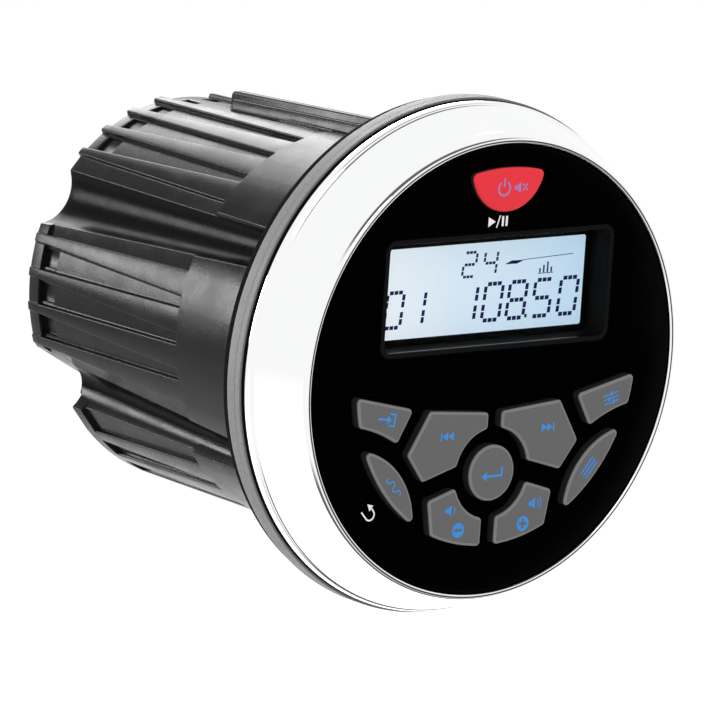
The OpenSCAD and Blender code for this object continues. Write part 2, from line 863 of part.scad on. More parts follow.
module lcd_contact_strip() {
    color("#c58fa0") stand() prism(board_top, lcd_back)
        translate([0, display_y - lcd_h / 2 + strip_h / 2]) square([strip_w, strip_h], center = true);
}

module keypad_mat() {
    skirt = 1.2;
    dome_r = 2.6;
    room = 1.2;
    color("#5b5d60") stand() difference() {
        union() {
            rod(board_r, mat_back, mat_top);
            tube(board_r, board_r - skirt, board_top, mat_back + eps);
            for (p = presses) translate(p) rod(dome_r, mat_back, dome_top);
        }
        prism(mat_back - eps, mat_top + eps) translate([0, display_y])
            square([lcd_w + 2 * room, lcd_h + 2 * room], center = true);
    }
}

module front_board() {
    color("#1f5a35") stand() difference() {
        rod(board_r, board_back, board_top);
        for (a = post_angles) translate(on_ring(post_ring_r, a))
            rod(screw_r, board_back - eps, board_top + eps);
    }
}

module tact_switches() {
    size = 6;
    stem_r = 1.5;
    stem_h = 0.6;
    color("#3a3b3d") stand() for (p = presses) translate(p) {
        block(size / 2, -size / 2, size / 2, board_top, board_top + switch_h - stem_h);
        rod(stem_r, board_top + switch_h - stem_h - eps, board_top + switch_h);
    }
}

module front_board_screws() {
    color("#8d8f92") stand() for (a = post_angles) translate(on_ring(post_ring_r, a))
        translate([0, 0, board_top]) screw(board_t + post_h + base_t - 2 * post_floor);
}

module board_header() {
    color("#d8d2c0") stand()
        block(connector_half_w, main_top, main_top + connector_h, connector_split, board_back);
}

module board_socket() {
    color("#2f2f31") stand() block(
        connector_half_w, main_top, main_top + connector_h,
        -main_front - connector_len, connector_split
    );
}

module main_board() {
    color("#1f5a35") stand() difference() {
        block(main_half_w, main_bottom, main_top, -main_front - main_len, -main_front);
        for (side = [-1, 1], d = main_screw_ends)
            translate([side * main_screw_x, main_top, -main_front - d])
                rotate([90, 0, 0]) rod(screw_r, -eps, board_t + eps);
    }
}

module amplifier_chip() {
    leads = 11;
    lead_w = 0.7;
    lead_margin = 1.5;
    lead_step = (2 * chip_half_w - 2 * lead_margin - lead_w) / (leads - 1);
    color("#171718") stand() difference() {
        union() {
            block(chip_half_w, main_top + chip_lift, main_top + chip_lift + chip_h, sink_front, chip_front);
            for (i = [0 : leads - 1])
                translate([i * lead_step - chip_half_w + lead_margin, main_top, sink_front + chip_t / 2])
                    cube([lead_w, chip_lift + eps, lead_w]);
        }
        for (p = chip_screws) translate(p) rod(screw_r, sink_front - eps, chip_front + eps);
    }
}

module heat_sink() {
    step = 2 * (sink_half_w - sink_fin_t / 2) / (sink_fins - 1);
    color("#a9acb0") stand() difference() {
        union() {
            block(sink_half_w, main_top, main_top + sink_h, -sink_back, sink_front);
            for (i = [0 : sink_fins - 1])
                translate([-sink_half_w + i * step, main_top, -sink_back - sink_fin_len])
                    cube([sink_fin_t, sink_h, sink_fin_len + eps]);
        }
        for (p = chip_screws) translate(p) rod(screw_r, -sink_back - eps, sink_front + eps);
    }
}

module amplifier_screws() {
    color("#8d8f92") stand() for (p = chip_screws) translate(p)
        translate([0, 0, chip_front]) screw(chip_t + sink_t);
}

module tuner_module() {
    color("#b4b7ba") stand()
        translate([tuner_at[0] - tuner_size[0] / 2, main_top, -tuner_at[1] - tuner_size[1] / 2])
            cube([tuner_size[0], tuner_size[2], tuner_size[1]]);
}

module filter_capacitors() {
    color("#23305f") stand() for (p = capacitor_places) translate([p[0], main_top, -p[1]])
        rotate([-90, 0, 0]) rotate_extrude() polygon([
            [0, 0],
            [capacitor_r, 0],
            [capacitor_r, capacitor_h / 8],
            [capacitor_r - capacitor_crimp, capacitor_h / 6],
            [capacitor_r, capacitor_h / 5],
            [capacitor_r, capacitor_h],
            [0, capacitor_h]
        ]);
}

module choke_coil() {
    color("#b5703a") stand() translate([choke_at[0], main_top + choke_wire_r, -choke_at[1]])
        rotate([-90, 0, 0]) rotate_extrude() translate([choke_ring_r, 0]) circle(r = choke_wire_r);
}

module main_board_screws() {
    color("#8d8f92") stand() for (side = [-1, 1], d = main_screw_ends)
        translate([side * main_screw_x, main_top, -main_front - d])
            rotate([-90, 0, 0]) screw(board_t + rail_t);
}

module power_button() {
    color("#e8404a") stand() {
        cap(power_h) {
            power_area(0);
            power_area(-key_bevel);
            power_area(key_rim);
        }
        plunger(power_press);
    }
}

module enter_button() {
    color("#767472") stand() {
        cap(key_h) {
            enter_area(0);
            enter_area(-key_bevel);
            enter_area(key_rim);
        }
        plunger(enter_at);
    }
}

module function_key() {
    cap(key_h) {
        function_area(0);
        function_area(-key_bevel);
        function_area(key_rim);
    }
    plunger(function_press);
}

module next_key() {
    cap(key_h) {
        next_area(0);
        next_area(-key_bevel);
        next_area(key_rim);
    }
    plunger(next_press);
}

module menu_key() {
    cap(key_h) {
        menu_area(0);
        menu_area(-key_bevel);
        menu_area(key_rim);
    }
    plunger(lens_press);
}

module volume_key() {
    cap(key_h) {
        volume_area(0);
        volume_area(-key_bevel);
        volume_area(key_rim);
    }
    plunger(volume_press);
}

module function_button() {
    color("#767472") stand() function_key();
}

module source_button() {
    color("#767472") stand() mirror([1, 0, 0]) function_key();
}

module next_button() {
    color("#767472") stand() next_key();
}

module previous_button() {
    color("#767472") stand() mirror([1, 0, 0]) next_key();
}

module menu_button() {
    color("#767472") stand() menu_key();
}

module band_button() {
    color("#767472") stand() mirror([1, 0, 0]) menu_key();
}

module volume_up_button() {
    color("#767472") stand() volume_key();
}

module volume_down_button() {
    color("#767472") stand() mirror([1, 0, 0]) volume_key();
}

rear_housing();
rear_cover();
cover_seal();
cover_screws();
cable_grommet();
antenna_socket();
clamp_inserts();
front_frame();
panel_gasket();
foam_seal();
housing_seal();
housing_screws();
chrome_bezel();
face_panel();
display_window();
display_shroud();
lcd_panel();
lcd_backlight();
lcd_contact_strip();
keypad_mat();
front_board();
tact_switches();
front_board_screws();
board_header();
board_socket();
main_board();
amplifier_chip();
heat_sink();
amplifier_screws();
tuner_module();
filter_capacitors();
choke_coil();
main_board_screws();
power_button();
source_button();
function_button();
previous_button();
next_button();
band_button();
menu_button();
enter_button();
volume_down_button();
volume_up_button();
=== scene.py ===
"""Round marine receiver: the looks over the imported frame, with camera and studio."""

import math

import bmesh
import bpy
from mathutils import Matrix, Vector


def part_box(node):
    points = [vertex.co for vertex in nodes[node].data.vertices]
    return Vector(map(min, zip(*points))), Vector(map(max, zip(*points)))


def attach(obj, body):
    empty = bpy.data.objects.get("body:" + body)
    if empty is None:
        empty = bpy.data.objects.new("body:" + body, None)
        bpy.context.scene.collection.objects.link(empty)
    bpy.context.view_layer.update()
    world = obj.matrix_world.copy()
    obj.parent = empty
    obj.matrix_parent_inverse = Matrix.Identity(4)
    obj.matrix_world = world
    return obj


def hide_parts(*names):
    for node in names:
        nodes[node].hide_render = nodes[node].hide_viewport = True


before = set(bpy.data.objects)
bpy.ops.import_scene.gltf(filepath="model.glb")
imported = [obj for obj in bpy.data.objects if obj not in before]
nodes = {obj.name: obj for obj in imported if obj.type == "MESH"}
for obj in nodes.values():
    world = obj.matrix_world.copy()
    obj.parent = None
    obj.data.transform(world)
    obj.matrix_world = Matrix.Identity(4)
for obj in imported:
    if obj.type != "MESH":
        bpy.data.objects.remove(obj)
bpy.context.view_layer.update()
scene = bpy.context.scene

MM = 0.001


# Places and sizes, in millimetres: x right, z up, h forward of the gasket's rear face


def at(x, z, h):
    return Vector((x, -h, z)) * MM


def span(node):
    """Lowest and highest h of a CAD node."""
    low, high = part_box(node)
    return -high.y / MM, -low.y / MM


def reach(node):
    """Largest x of a CAD node."""
    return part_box(node)[1].x / MM


def bore(node):
    """Smallest distance of a CAD node from the axis."""
    return min(math.hypot(v.co.x, v.co.z) for v in nodes[node].data.vertices) / MM


LIP_H = span("chrome_bezel")[1]
RIM_BACK, RIM_FRONT = span("panel_gasket")[1], span("chrome_bezel")[0]
FACE_BACK, FACE_TOP = span("face_panel")
FACE_R = reach("face_panel")
FLANGE_R = reach("panel_gasket")
BEZEL_R = reach("chrome_bezel")
LCD_BACK, LCD_TOP = span("lcd_panel")
KEY_TOP = span("enter_button")[1]
POWER_TOP = span("power_button")[1]
BODY_LEN = -span("rear_housing")[0]
LIP_R = FACE_R + 0.2
KEY_GAP = 0.3
KEY_RIM = 0.9
KEY_RIM_TOP = FACE_BACK - 0.3
KEY_RIM_BACK = KEY_RIM_TOP - 1.0
PRINT = 0.02
RING_STEPS = 288


# Materials


def srgb(code):
    """Linear colour of a six digit screen colour."""
    values = [int(code[i : i + 2], 16) / 255 for i in (0, 2, 4)]
    return tuple(v / 12.92 if v <= 0.04045 else ((v + 0.055) / 1.055) ** 2.4 for v in values)


def material(name, color, rough, metal=0.0, **sockets):
    mat = bpy.data.materials.new(name)
    mat.use_nodes = True
    shader = mat.node_tree.nodes["Principled BSDF"]
    shader.inputs["Base Color"].default_value = (*color, 1)
    shader.inputs["Roughness"].default_value = rough
    shader.inputs["Metallic"].default_value = metal
    for key, value in sockets.items():
        shader.inputs[key.replace("_", " ")].default_value = value
    mat.diffuse_color = (*color, 1)
    return mat


def wire(mat, start, end):
    mat.node_tree.links.new(start, end)


def node(mat, kind, **values):
    made = mat.node_tree.nodes.new(kind)
    for key, value in values.items():
        if hasattr(made, key):
            setattr(made, key, value)
        else:
            made.inputs[key.replace("_", " ")].default_value = value
    return made


# Where most values of a noise texture lie, and how much broader its changes of gloss are
NOISE_LOW, NOISE_HIGH = 0.3, 0.7
BROADER = 18


def grain(mat, size, depth, rough=None, tint=None, stretch=(1, 1, 1), detail=4.0):
    """Fine surface texture of a size in millimetres: relief, and variation of gloss and colour."""
    shader = mat.node_tree.nodes["Principled BSDF"]
    place = node(mat, "ShaderNodeTexCoord")
    scaled = node(mat, "ShaderNodeMapping", Scale=stretch)
    wire(mat, place.outputs["Object"], scaled.inputs["Vector"])
    fine = node(mat, "ShaderNodeTexNoise", Scale=1 / (size * MM), Detail=detail, Roughness=0.6)
    wire(mat, scaled.outputs["Vector"], fine.inputs["Vector"])
    if depth:
        relief = node(mat, "ShaderNodeBump", Strength=1.0, Distance=depth * MM)
        wire(mat, fine.outputs["Fac"], relief.inputs["Height"])
        wire(mat, relief.outputs["Normal"], shader.inputs["Normal"])
    broad = node(mat, "ShaderNodeTexNoise", Scale=1 / (size * MM * BROADER), Detail=3.0)
    wire(mat, scaled.outputs["Vector"], broad.inputs["Vector"])
    if rough:
        spread = node(
            mat, "ShaderNodeMapRange",
            From_Min=NOISE_LOW, From_Max=NOISE_HIGH, To_Min=rough[0], To_Max=rough[1],
        )
        wire(mat, broad.outputs["Fac"], spread.inputs["Value"])
        wire(mat, spread.outputs["Result"], shader.inputs["Roughness"])
    if tint:
        ramp = node(mat, "ShaderNodeValToRGB")
        ramp.color_ramp.elements[0].position = NOISE_LOW
        ramp.color_ramp.elements[0].color = (*tint[0], 1)
        ramp.color_ramp.elements[1].position = NOISE_HIGH
        ramp.color_ramp.elements[1].color = (*tint[1], 1)
        wire(mat, fine.outputs["Fac"], ramp.inputs["Fac"])
        wire(mat, ramp.outputs["Color"], shader.inputs["Base Color"])
    return mat


def grey(value):
    return (value, value, value * 1.01)


MATS = {
    "housing": grain(
        material("housing_black", grey(0.005), 0.25, Specular_IOR_Level=0.08),
        0.4, 0.03, (0.2, 0.32), (grey(0.003), grey(0.007)),
    ),
    # A darker, less glossy copy of the housing material for the scallops: painted shade.
    "scallop_shade": grain(
        material("scallop_painted_shade", grey(0.002), 0.25, Specular_IOR_Level=0.02),
        0.28, 0.01, (0.2, 0.3), (grey(0.001), grey(0.003)),
    ),
    "frame": grain(
        material("frame_black", grey(0.004), 0.5, Specular_IOR_Level=0.1), 0.3, 0.01, (0.45, 0.55)
    ),
    "foam": grain(
        material("foam_black", grey(0.004), 0.9, Specular_IOR_Level=0.05),
        0.35, 0.05, (0.85, 0.95), (grey(0.002), grey(0.006)),
    ),
    "gasket": grain(
        material("gasket_grey", grey(0.165), 0.55, Specular_IOR_Level=0.2),
        0.5, 0.006, (0.48, 0.6), (grey(0.14), grey(0.19)),
    ),
    "chrome": grain(
        material("chrome_plate", (0.93, 0.935, 0.94), 0.05, 1.0), 6.0, 0.0, (0.035, 0.065)
    ),
    "face": grain(
        material("face_gloss_black", grey(0.0005), 0.1, Specular_IOR_Level=0.01),
        4.0, 0.0, (0.1, 0.15),
    ),
    "shroud": grain(
        material("shroud_black", grey(0.007), 0.5, Specular_IOR_Level=0.02), 0.3, 0.008, (0.45, 0.55)
    ),
    "mask": grain(material("lcd_mask", grey(0.003), 0.2), 2.0, 0.0, (0.15, 0.25)),
    "key": grain(
        material("key_grey", srgb("676767"), 0.62, Specular_IOR_Level=0.25),
        0.22, 0.012, (0.55, 0.7), (srgb("626262"), srgb("6c6c6c")),
    ),
    # Lighter grey for the grey keys' eased edges: a painted highlight.
    "painted_key_highlight": grain(
        material("key_bevel_painted_highlight", srgb("7e7e7e"), 0.55, Specular_IOR_Level=0.3),
        0.22, 0.008, (0.5, 0.62), (srgb("787878"), srgb("848484")),
    ),
    "key_side": grain(
        material("key_black", grey(0.016), 0.6, Specular_IOR_Level=0.25), 0.25, 0.012, (0.55, 0.68)
    ),
    "red": grain(
        material("key_red", srgb("f0333f"), 0.5, Specular_IOR_Level=0.2),
        0.22, 0.006, (0.45, 0.58), (srgb("ed2f3b"), srgb("f33844")),
    ),
    "blue": grain(
        material("legend_blue", srgb("3e8fdc"), 0.5, Specular_IOR_Level=0.2),
        0.2, 0.0, (0.45, 0.55), (srgb("3a8ad6"), srgb("4495e2")),
    ),
    "mauve": grain(
        material("legend_mauve", srgb("b07ab4"), 0.5),
        0.2, 0.0, (0.45, 0.55), (srgb("aa74b0"), srgb("b680ba")),
    ),
    "white": grain(
        material("legend_white", srgb("f4f4f4"), 0.5),
        0.2, 0.0, (0.45, 0.55), (srgb("efefef"), srgb("f8f8f8")),
    ),
    "digit": grain(
        material("lcd_segment", srgb("1d2160"), 0.5, Specular_IOR_Level=0.05),
        0.3, 0.0, (0.45, 0.55), (srgb("191d5a"), srgb("212566")),
    ),
    "window": grain(
        material("window_clear", (1, 1, 1), 0.0, Transmission_Weight=1.0, IOR=1.03), 8.0, 0.0
    ),
    "steel": grain(
        material("screw_steel", grey(0.5), 0.3, 1.0), 0.4, 0.004, (0.24, 0.38)
    ),
    "nickel": grain(material("nickel", grey(0.62), 0.24, 1.0), 0.5, 0.003, (0.18, 0.3)),
    "brass": grain(
        material("insert_brass", (0.66, 0.46, 0.17), 0.3, 1.0), 0.5, 0.004, (0.24, 0.38)
    ),
    "rubber": grain(material("rubber_black", grey(0.014), 0.7), 0.4, 0.01, (0.62, 0.78)),
    "silicone": grain(material("mat_silicone", grey(0.1), 0.6), 0.4, 0.008, (0.55, 0.68)),
    "pink": grain(material("contact_rubber", (0.46, 0.25, 0.3), 0.6), 0.4, 0.006, (0.55, 0.7)),
    "guide": grain(material("light_guide", (0.85, 0.88, 0.9), 0.25), 0.8, 0.002, (0.2, 0.3)),
    "board": grain(
        material("board_green", (0.012, 0.09, 0.035), 0.35),
        0.9, 0.006, (0.3, 0.42), ((0.01, 0.075, 0.03), (0.016, 0.11, 0.042)),
    ),
    "moulding": grain(material("black_moulding", grey(0.012), 0.5), 0.3, 0.008, (0.42, 0.58)),
    "cream": grain(material("cream_moulding", (0.62, 0.57, 0.46), 0.5), 0.4, 0.006, (0.42, 0.55)),
    "aluminium": grain(
        material("sink_aluminium", grey(0.55), 0.36, 1.0),
        0.4, 0.01, (0.3, 0.45), None, (1, 1, 0.08),
    ),
    "sleeve": grain(material("capacitor_sleeve", (0.016, 0.026, 0.11), 0.3), 0.6, 0.004, (0.25, 0.36)),
    "copper": grain(
        material("copper_wire", (0.5, 0.2, 0.07), 0.3, 1.0), 0.5, 0.03, (0.25, 0.38)
    ),
}


# Building blocks


def piece(name, points, faces, mats, body="receiver", stands_for=(), slot=None, sharp=40, marks=None):
    """A mesh piece from points (x, z, h) and faces; marks gives each face's material."""
    mesh = bpy.data.meshes.new(name)
    mesh.from_pydata([at(*p) for p in points], [], faces)
    for mat in mats:
        mesh.materials.append(mat)
    if marks:
        mesh.polygons.foreach_set("material_index", marks)
    work = bmesh.new()
    work.from_mesh(mesh)
    bmesh.ops.remove_doubles(work, verts=work.verts, dist=1e-7)
    bmesh.ops.recalc_face_normals(work, faces=work.faces)
    work.to_mesh(mesh)
    work.free()
    mesh.shade_smooth()
    mesh.set_sharp_from_angle(angle=math.radians(sharp))
    made = bpy.data.objects.new(name, mesh)
    scene.collection.objects.link(made)
    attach(made, body)
    if stands_for:
        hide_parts(*stands_for)
    return made


def skin(rings, looped=False):
    """Points and quads through closed rings of equal length, looped where the last meets the first."""
    count = len(rings[0])
    points = [p for ring in rings for p in ring]
    faces = []
    for i in range(len(rings) if looped else len(rings) - 1):
        for j in range(count):
            k = (j + 1) % count
            low, high = i * count, (i + 1) % len(rings) * count
            faces.append((low + j, low + k, high + k, high + j))
    return points, faces


def rounded(corners, steps=6):
    """A closed profile whose corners (r, h, length) are eased over that length of each edge."""
    path = []
    count = len(corners)
    for i, (r, h, ease) in enumerate(corners):
        here = Vector((r, h))
        if not ease:
            path.append(here)
            continue
        before = Vector(corners[i - 1][:2]) - here
        after = Vector(corners[(i + 1) % count][:2]) - here
        start = here + before.normalized() * min(ease, before.length * 0.49)
        end = here + after.normalized() * min(ease, after.length * 0.49)
        for k in range(steps + 1):
            t = k / steps
            path.append(start * (1 - t) ** 2 + here * 2 * t * (1 - t) + end * t * t)
    return path


def turned(name, corners, mats, **more):
    """A ring turned about the axis from a closed profile."""
    turns = circle(RING_STEPS)
    rings = [[(p.x * math.cos(a), p.x * math.sin(a), p.y) for a in turns] for p in rounded(corners)]
    return piece(name, *skin(rings, True), mats, **more)


def circle(steps):
    return [math.tau * i / steps for i in range(steps)]


def disc(x, z, r, h, steps=64):
    return [(x + r * math.cos(a), z + r * math.sin(a), h) for a in circle(steps)]


def fill(loops):
    """Triangles between closed loops of points, the first loop outermost."""
    work = bmesh.new()
    edges = []
    for loop in loops:
        verts = [work.verts.new(p) for p in loop]
        edges += [work.edges.new((verts[i - 1], verts[i])) for i in range(len(verts))]
    bmesh.ops.triangle_fill(work, use_beauty=True, edges=edges, use_dissolve=False)
    work.verts.index_update()
    points = [tuple(v.co) for v in work.verts]
    faces = [tuple(v.index for v in f.verts) for f in work.faces]
    work.free()
    return points, faces


def join(*parts):
    """One list of points and faces from several."""
    points, faces = [], []
    for some_points, some_faces in parts:
        start = len(points)
        points += some_points
        faces += [tuple(start + i for i in f) for f in some_faces]
    return points, faces


# Outlines of the keys: straight edges, circles round the outside and circles cut away


def edge_planes(corners):
    """Outward planes (nx, nz, distance) of a polygon listed anticlockwise."""
    planes = []
    for (ax, az), (bx, bz) in zip(corners, corners[1:] + corners[:1]):
        length = math.hypot(bx - ax, bz - az)
        nx, nz = (bz - az) / length, (ax - bx) / length
        planes.append((nx, nz, nx * ax + nz * az))
    return planes


def ray_exit(centre, angle, planes, inside, outside, ease):
    """Where a ray from centre leaves the outline drawn in by ease: which edge, point and normal."""
    cx, cz = centre
    ux, uz = math.cos(angle), math.sin(angle)
    best = None
    for i, (nx, nz, d) in enumerate(planes):
        slope = nx * ux + nz * uz
        if slope > 1e-9:
            t = (d - ease - nx * cx - nz * cz) / slope
            if best is None or t < best[0]:
                best = (t, ("plane", i), (nx, nz))
    for kind, circles in (("in", inside), ("out", outside)):
        for i, (ox, oz, r) in enumerate(circles):
            size = r - ease if kind == "in" else r + ease
            qx, qz = cx - ox, cz - oz
            b, c = qx * ux + qz * uz, qx * qx + qz * qz - size * size
            if b * b < c:
                continue
            root = math.sqrt(b * b - c)
            t = -b + root if kind == "in" else -b - root
            if t <= 0 or (best and t >= best[0]):
                continue
            sign = 1 / size if kind == "in" else -1 / size
            best = (t, (kind, i), ((qx + t * ux) * sign, (qz + t * uz) * sign))
    t, edge, normal = best
    return edge, (cx + t * ux, cz + t * uz), normal


def outline(centre, planes=(), inside=(), outside=(), ease=0.85, steps=240, arc=7):
    """Closed outline with eased corners: a list of (x, z, normal x, normal z)."""
    shape = (planes, inside, outside, ease)
    path = []
    for i in range(steps):
        a0, a1 = math.tau * i / steps, math.tau * (i + 1) / steps
        edge, point, normal = ray_exit(centre, a0, *shape)
        path.append((point, normal))
        if ray_exit(centre, a1, *shape)[0] == edge:
            continue
        for _ in range(24):
            middle = (a0 + a1) / 2
            if ray_exit(centre, middle, *shape)[0] == edge:
                a0 = middle
            else:
                a1 = middle
        _, point, first = ray_exit(centre, a0, *shape)
        last = ray_exit(centre, a1, *shape)[2]
        turn0 = math.atan2(first[1], first[0])
        turn = (math.atan2(last[1], last[0]) - turn0 + math.pi) % math.tau - math.pi
        for k in range(arc + 1):
            b = turn0 + turn * k / arc
            path.append((point, (math.cos(b), math.sin(b))))
    return [(x + nx * ease, z + nz * ease, nx, nz) for (x, z), (nx, nz) in path]


def mirrored(shape):
    return [(-x, z, -nx, nz) for x, z, nx, nz in reversed(shape)]


def ring(shape, grow, h):
    return [(x + nx * grow, z + nz * grow, h) for x, z, nx, nz in shape]


KEYPAD_R = LIP_R - 10.5
ENTER = (0.0, 14.5 - KEYPAD_R)
KEYPAD = (0, 0, KEYPAD_R)
BITE = (*ENTER, 9.0)
FUNCTION = outline(
    (28.2, -7.4),
    edge_planes([(20.45, -6.05), (24.05, -12.65), (36, -7.85), (36, -2.45)]),
    [KEYPAD],
    [(39.2, -36.25, 28)],
)
NEXT = outline(
    (12.5, -13.2),
    edge_planes([(1.65, -8), (1.65, -16.2), (17.15, -20.8), (21.3, -15.2), (16.25, -6.77)]),
    (),
    [BITE],
)
VOLUME = outline(
    (8.2, -29.3),
    edge_planes([(1.7, -20.4), (1.7, -37), (13.3, -37), (15.5, -24.7)]),
    [KEYPAD],
    [BITE],
)
LENS = outline((24.2, -20.6), (), [KEYPAD, (35.07, -29.48, 16.3)])
ROUND = outline(ENTER, (), [(*ENTER, 5.6)])
POWER_ARC = LIP_R - 5.0
POWER = outline((0, 36.2), (), [(0, 0, POWER_ARC), (0, POWER_ARC + 0.25, 9.0)], ease=1.1)

KEYS = {
    "power_button": POWER,
    "source_button": mirrored(FUNCTION),
    "function_button": FUNCTION,
    "previous_button": mirrored(NEXT),
    "next_button": NEXT,
    "band_button": mirrored(LENS),
    "menu_button": LENS,
    "enter_button": ROUND,
    "volume_down_button": mirrored(VOLUME),
    "volume_up_button": VOLUME,
}


def make_key(name, shape):
    """A key with a dark shaft and rim, and a painted top whose eased edge, on the grey keys, is a lighter
    grey: a painted highlight.
    """
    top = POWER_TOP if name == "power_button" else KEY_TOP
    paint = MATS["red"] if name == "power_button" else MATS["key"]
    steps = [
        (KEY_RIM, KEY_RIM_BACK),
        (KEY_RIM, KEY_RIM_TOP),
        (0, KEY_RIM_TOP),
        (0, top - 0.5),
        (-0.03, top - 0.36),
        (-0.12, top - 0.22),
        (-0.3, top - 0.1),
        (-0.52, top - 0.03),
        (-0.72, top),
    ]
    rings = [ring(shape, grow, h) for grow, h in steps]
    points, faces = skin(rings)
    count = len(shape)
    marks = [0] * (count * 3) + [1] * count + [2] * (count * 3) + [1] * count
    faces.append(tuple(range(len(points) - count, len(points))))
    faces.append(tuple(range(count)))
    marks += [1, 0]
    slot = "red_key" if name == "power_button" else "grey_key"
    # On the grey keys the eased edge takes the lighter grey: a painted highlight where light would catch the
    # bevel.
    edge = paint if name == "power_button" else MATS["painted_key_highlight"]
    mats = [MATS["key_side"], paint, edge]
    return piece(name + "_cap", points, faces, mats, name, [name], slot, 35, marks)


for key_name, key_shape in KEYS.items():
    make_key(key_name, key_shape)


# The face panel, with an eased opening for each key and for the display


def rounded_box(w, h, r, cz, steps=10):
    """Outline of a rectangle with round corners, in the form that outline() gives."""
    path = []
    for cx, sz, start in ((1, 1, 0), (-1, 1, 90), (-1, -1, 180), (1, -1, 270)):
        for k in range(steps + 1):
            a = math.radians(start + 90 * k / steps)
            nx, nz = math.cos(a), math.sin(a)
            path.append((cx * (w / 2 - r) + r * nx, cz + sz * (h / 2 - r) + r * nz, nx, nz))
    return path


WINDOW_LOW, WINDOW_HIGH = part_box("display_window")
DISPLAY_W = (WINDOW_HIGH.x - WINDOW_LOW.x) / MM + 0.2
DISPLAY_H = (WINDOW_HIGH.z - WINDOW_LOW.z) / MM + 0.2
DISPLAY_Z = (WINDOW_HIGH.z + WINDOW_LOW.z) / 2 / MM
DISPLAY = rounded_box(DISPLAY_W, DISPLAY_H, 1.6, DISPLAY_Z)


def make_face():
    edge = [(math.cos(a), math.sin(a)) for a in circle(RING_STEPS)]
    outer = [
        (FACE_R - 1.2, FACE_TOP),
        (FACE_R - 0.25, FACE_TOP - 0.42),
        (FACE_R, FACE_TOP - 0.6),
        (FACE_R, FACE_BACK),
    ]
    holes = [(shape, KEY_GAP) for shape in KEYS.values()] + [(DISPLAY, 1.0)]
    parts = [skin([[(r * x, r * z, h) for x, z in edge] for r, h in outer])]
    front = [[(x * outer[0][0], z * outer[0][0], FACE_TOP) for x, z in edge]]
    back = [[(x * FACE_R, z * FACE_R, FACE_BACK) for x, z in edge]]
    for shape, gap in holes:
        steps = [
            (gap + 0.14, FACE_TOP),
            (gap + 0.04, FACE_TOP - 0.05),
            (gap, FACE_TOP - 0.15),
            (gap, FACE_BACK),
        ]
        rings = [ring(shape, grow, h) for grow, h in steps]
        parts.append(skin(rings))
        front.append(rings[0])
        back.append(rings[-1])
    parts += [fill(front), fill(back)]
    return piece(
        "face_panel_shell", *join(*parts), [MATS["face"]],
        stands_for=["face_panel"], slot="gloss_black", sharp=25,
    )


make_face()


# Bezel, gasket, foam ring and the frame's flange


def make_bezel():
    lip = [
        (LIP_R, FACE_TOP - 0.3, 0),
        (LIP_R - 0.5, FACE_TOP - 0.25, 0.05),
        (LIP_R - 0.48, LIP_H - 0.35, 0),
        (LIP_R - 0.3, LIP_H - 0.1, 0),
        (LIP_R + 0.05, LIP_H, 0),
        (LIP_R + 0.4, LIP_H - 0.1, 0),
        (LIP_R + 0.72, LIP_H - 0.4, 0),
        (LIP_R + 1.05, LIP_H - 0.95, 0),
        (LIP_R + 1.4, LIP_H - 1.8, 0),
        (LIP_R + 1.75, LIP_H - 2.9, 0.6),
    ]
    waist = BEZEL_R - 0.85
    rear = [
        (waist, RIM_FRONT + 2.5, 0.6),
        (BEZEL_R - 0.3, RIM_FRONT + 2.2, 0.15),
        (BEZEL_R, RIM_FRONT + 1.5, 0.4),
        (BEZEL_R, RIM_FRONT + 0.6, 0.5),
        (BEZEL_R - 1.2, RIM_FRONT + 0.6, 0.1),
        (BEZEL_R - 2.8, RIM_FRONT + 3.2, 0.2),
        (LIP_R + 0.6, LIP_H - 3.8, 0.2),
        (LIP_R, LIP_H - 3.8, 0.1),
    ]
    turned(
        "bezel_ring", lip + rear, [MATS["chrome"]],
        stands_for=["chrome_bezel"], slot="chrome_plate", sharp=60,
    )


make_bezel()


def band(name, inner, outer, back, front, eases, mat, **more):
    """A ring with a rectangular profile and eased corners."""
    corners = ((inner, back), (outer, back), (outer, front), (inner, front))
    turned(name, [(*corner, ease) for corner, ease in zip(corners, eases)], [mat], **more)


GASKET_IN = bore("panel_gasket")
band(
    "gasket_ring", GASKET_IN, FLANGE_R, 0, RIM_BACK, (0.15, 0.35, 0.1, 0.15),
    MATS["gasket"], stands_for=["panel_gasket"], slot="grey_rubber",
)
band(
    "flange_edge", FLANGE_R - 0.4, FLANGE_R, RIM_BACK, RIM_FRONT - 0.02, (0, 0.08, 0.3, 0),
    MATS["gasket"], slot="grey_rubber",
)
band(
    "foam_ring", bore("foam_seal"), reach("foam_seal"), span("foam_seal")[0], 0, (0.2, 0.3, 0.05, 0.05),
    MATS["foam"], stands_for=["foam_seal"], slot="seal_rubber",
)
FRAME_IN = FACE_R - 12
turned(
    "frame_ring",
    [
        (FRAME_IN, RIM_BACK, 0),
        (FLANGE_R - 0.4, RIM_BACK, 0),
        (FLANGE_R - 0.4, RIM_FRONT, 0.1),
        (BEZEL_R - 0.6, RIM_FRONT + 0.05, 0),
        (BEZEL_R - 0.6, RIM_FRONT + 0.58, 0),
        (FACE_R, RIM_FRONT, 0),
        (FACE_R, FACE_BACK, 0),
        (FACE_R - 2.8, FACE_BACK, 0),
        (FACE_R - 2.8, RIM_FRONT + 2, 0),
        (FRAME_IN, RIM_FRONT + 2, 0),
    ],
    [MATS["frame"]],
    stands_for=["front_frame"],
    slot="black_polymer",
)


# Housing: one closed section for each depth, with ribs, wedge grooves and scallops

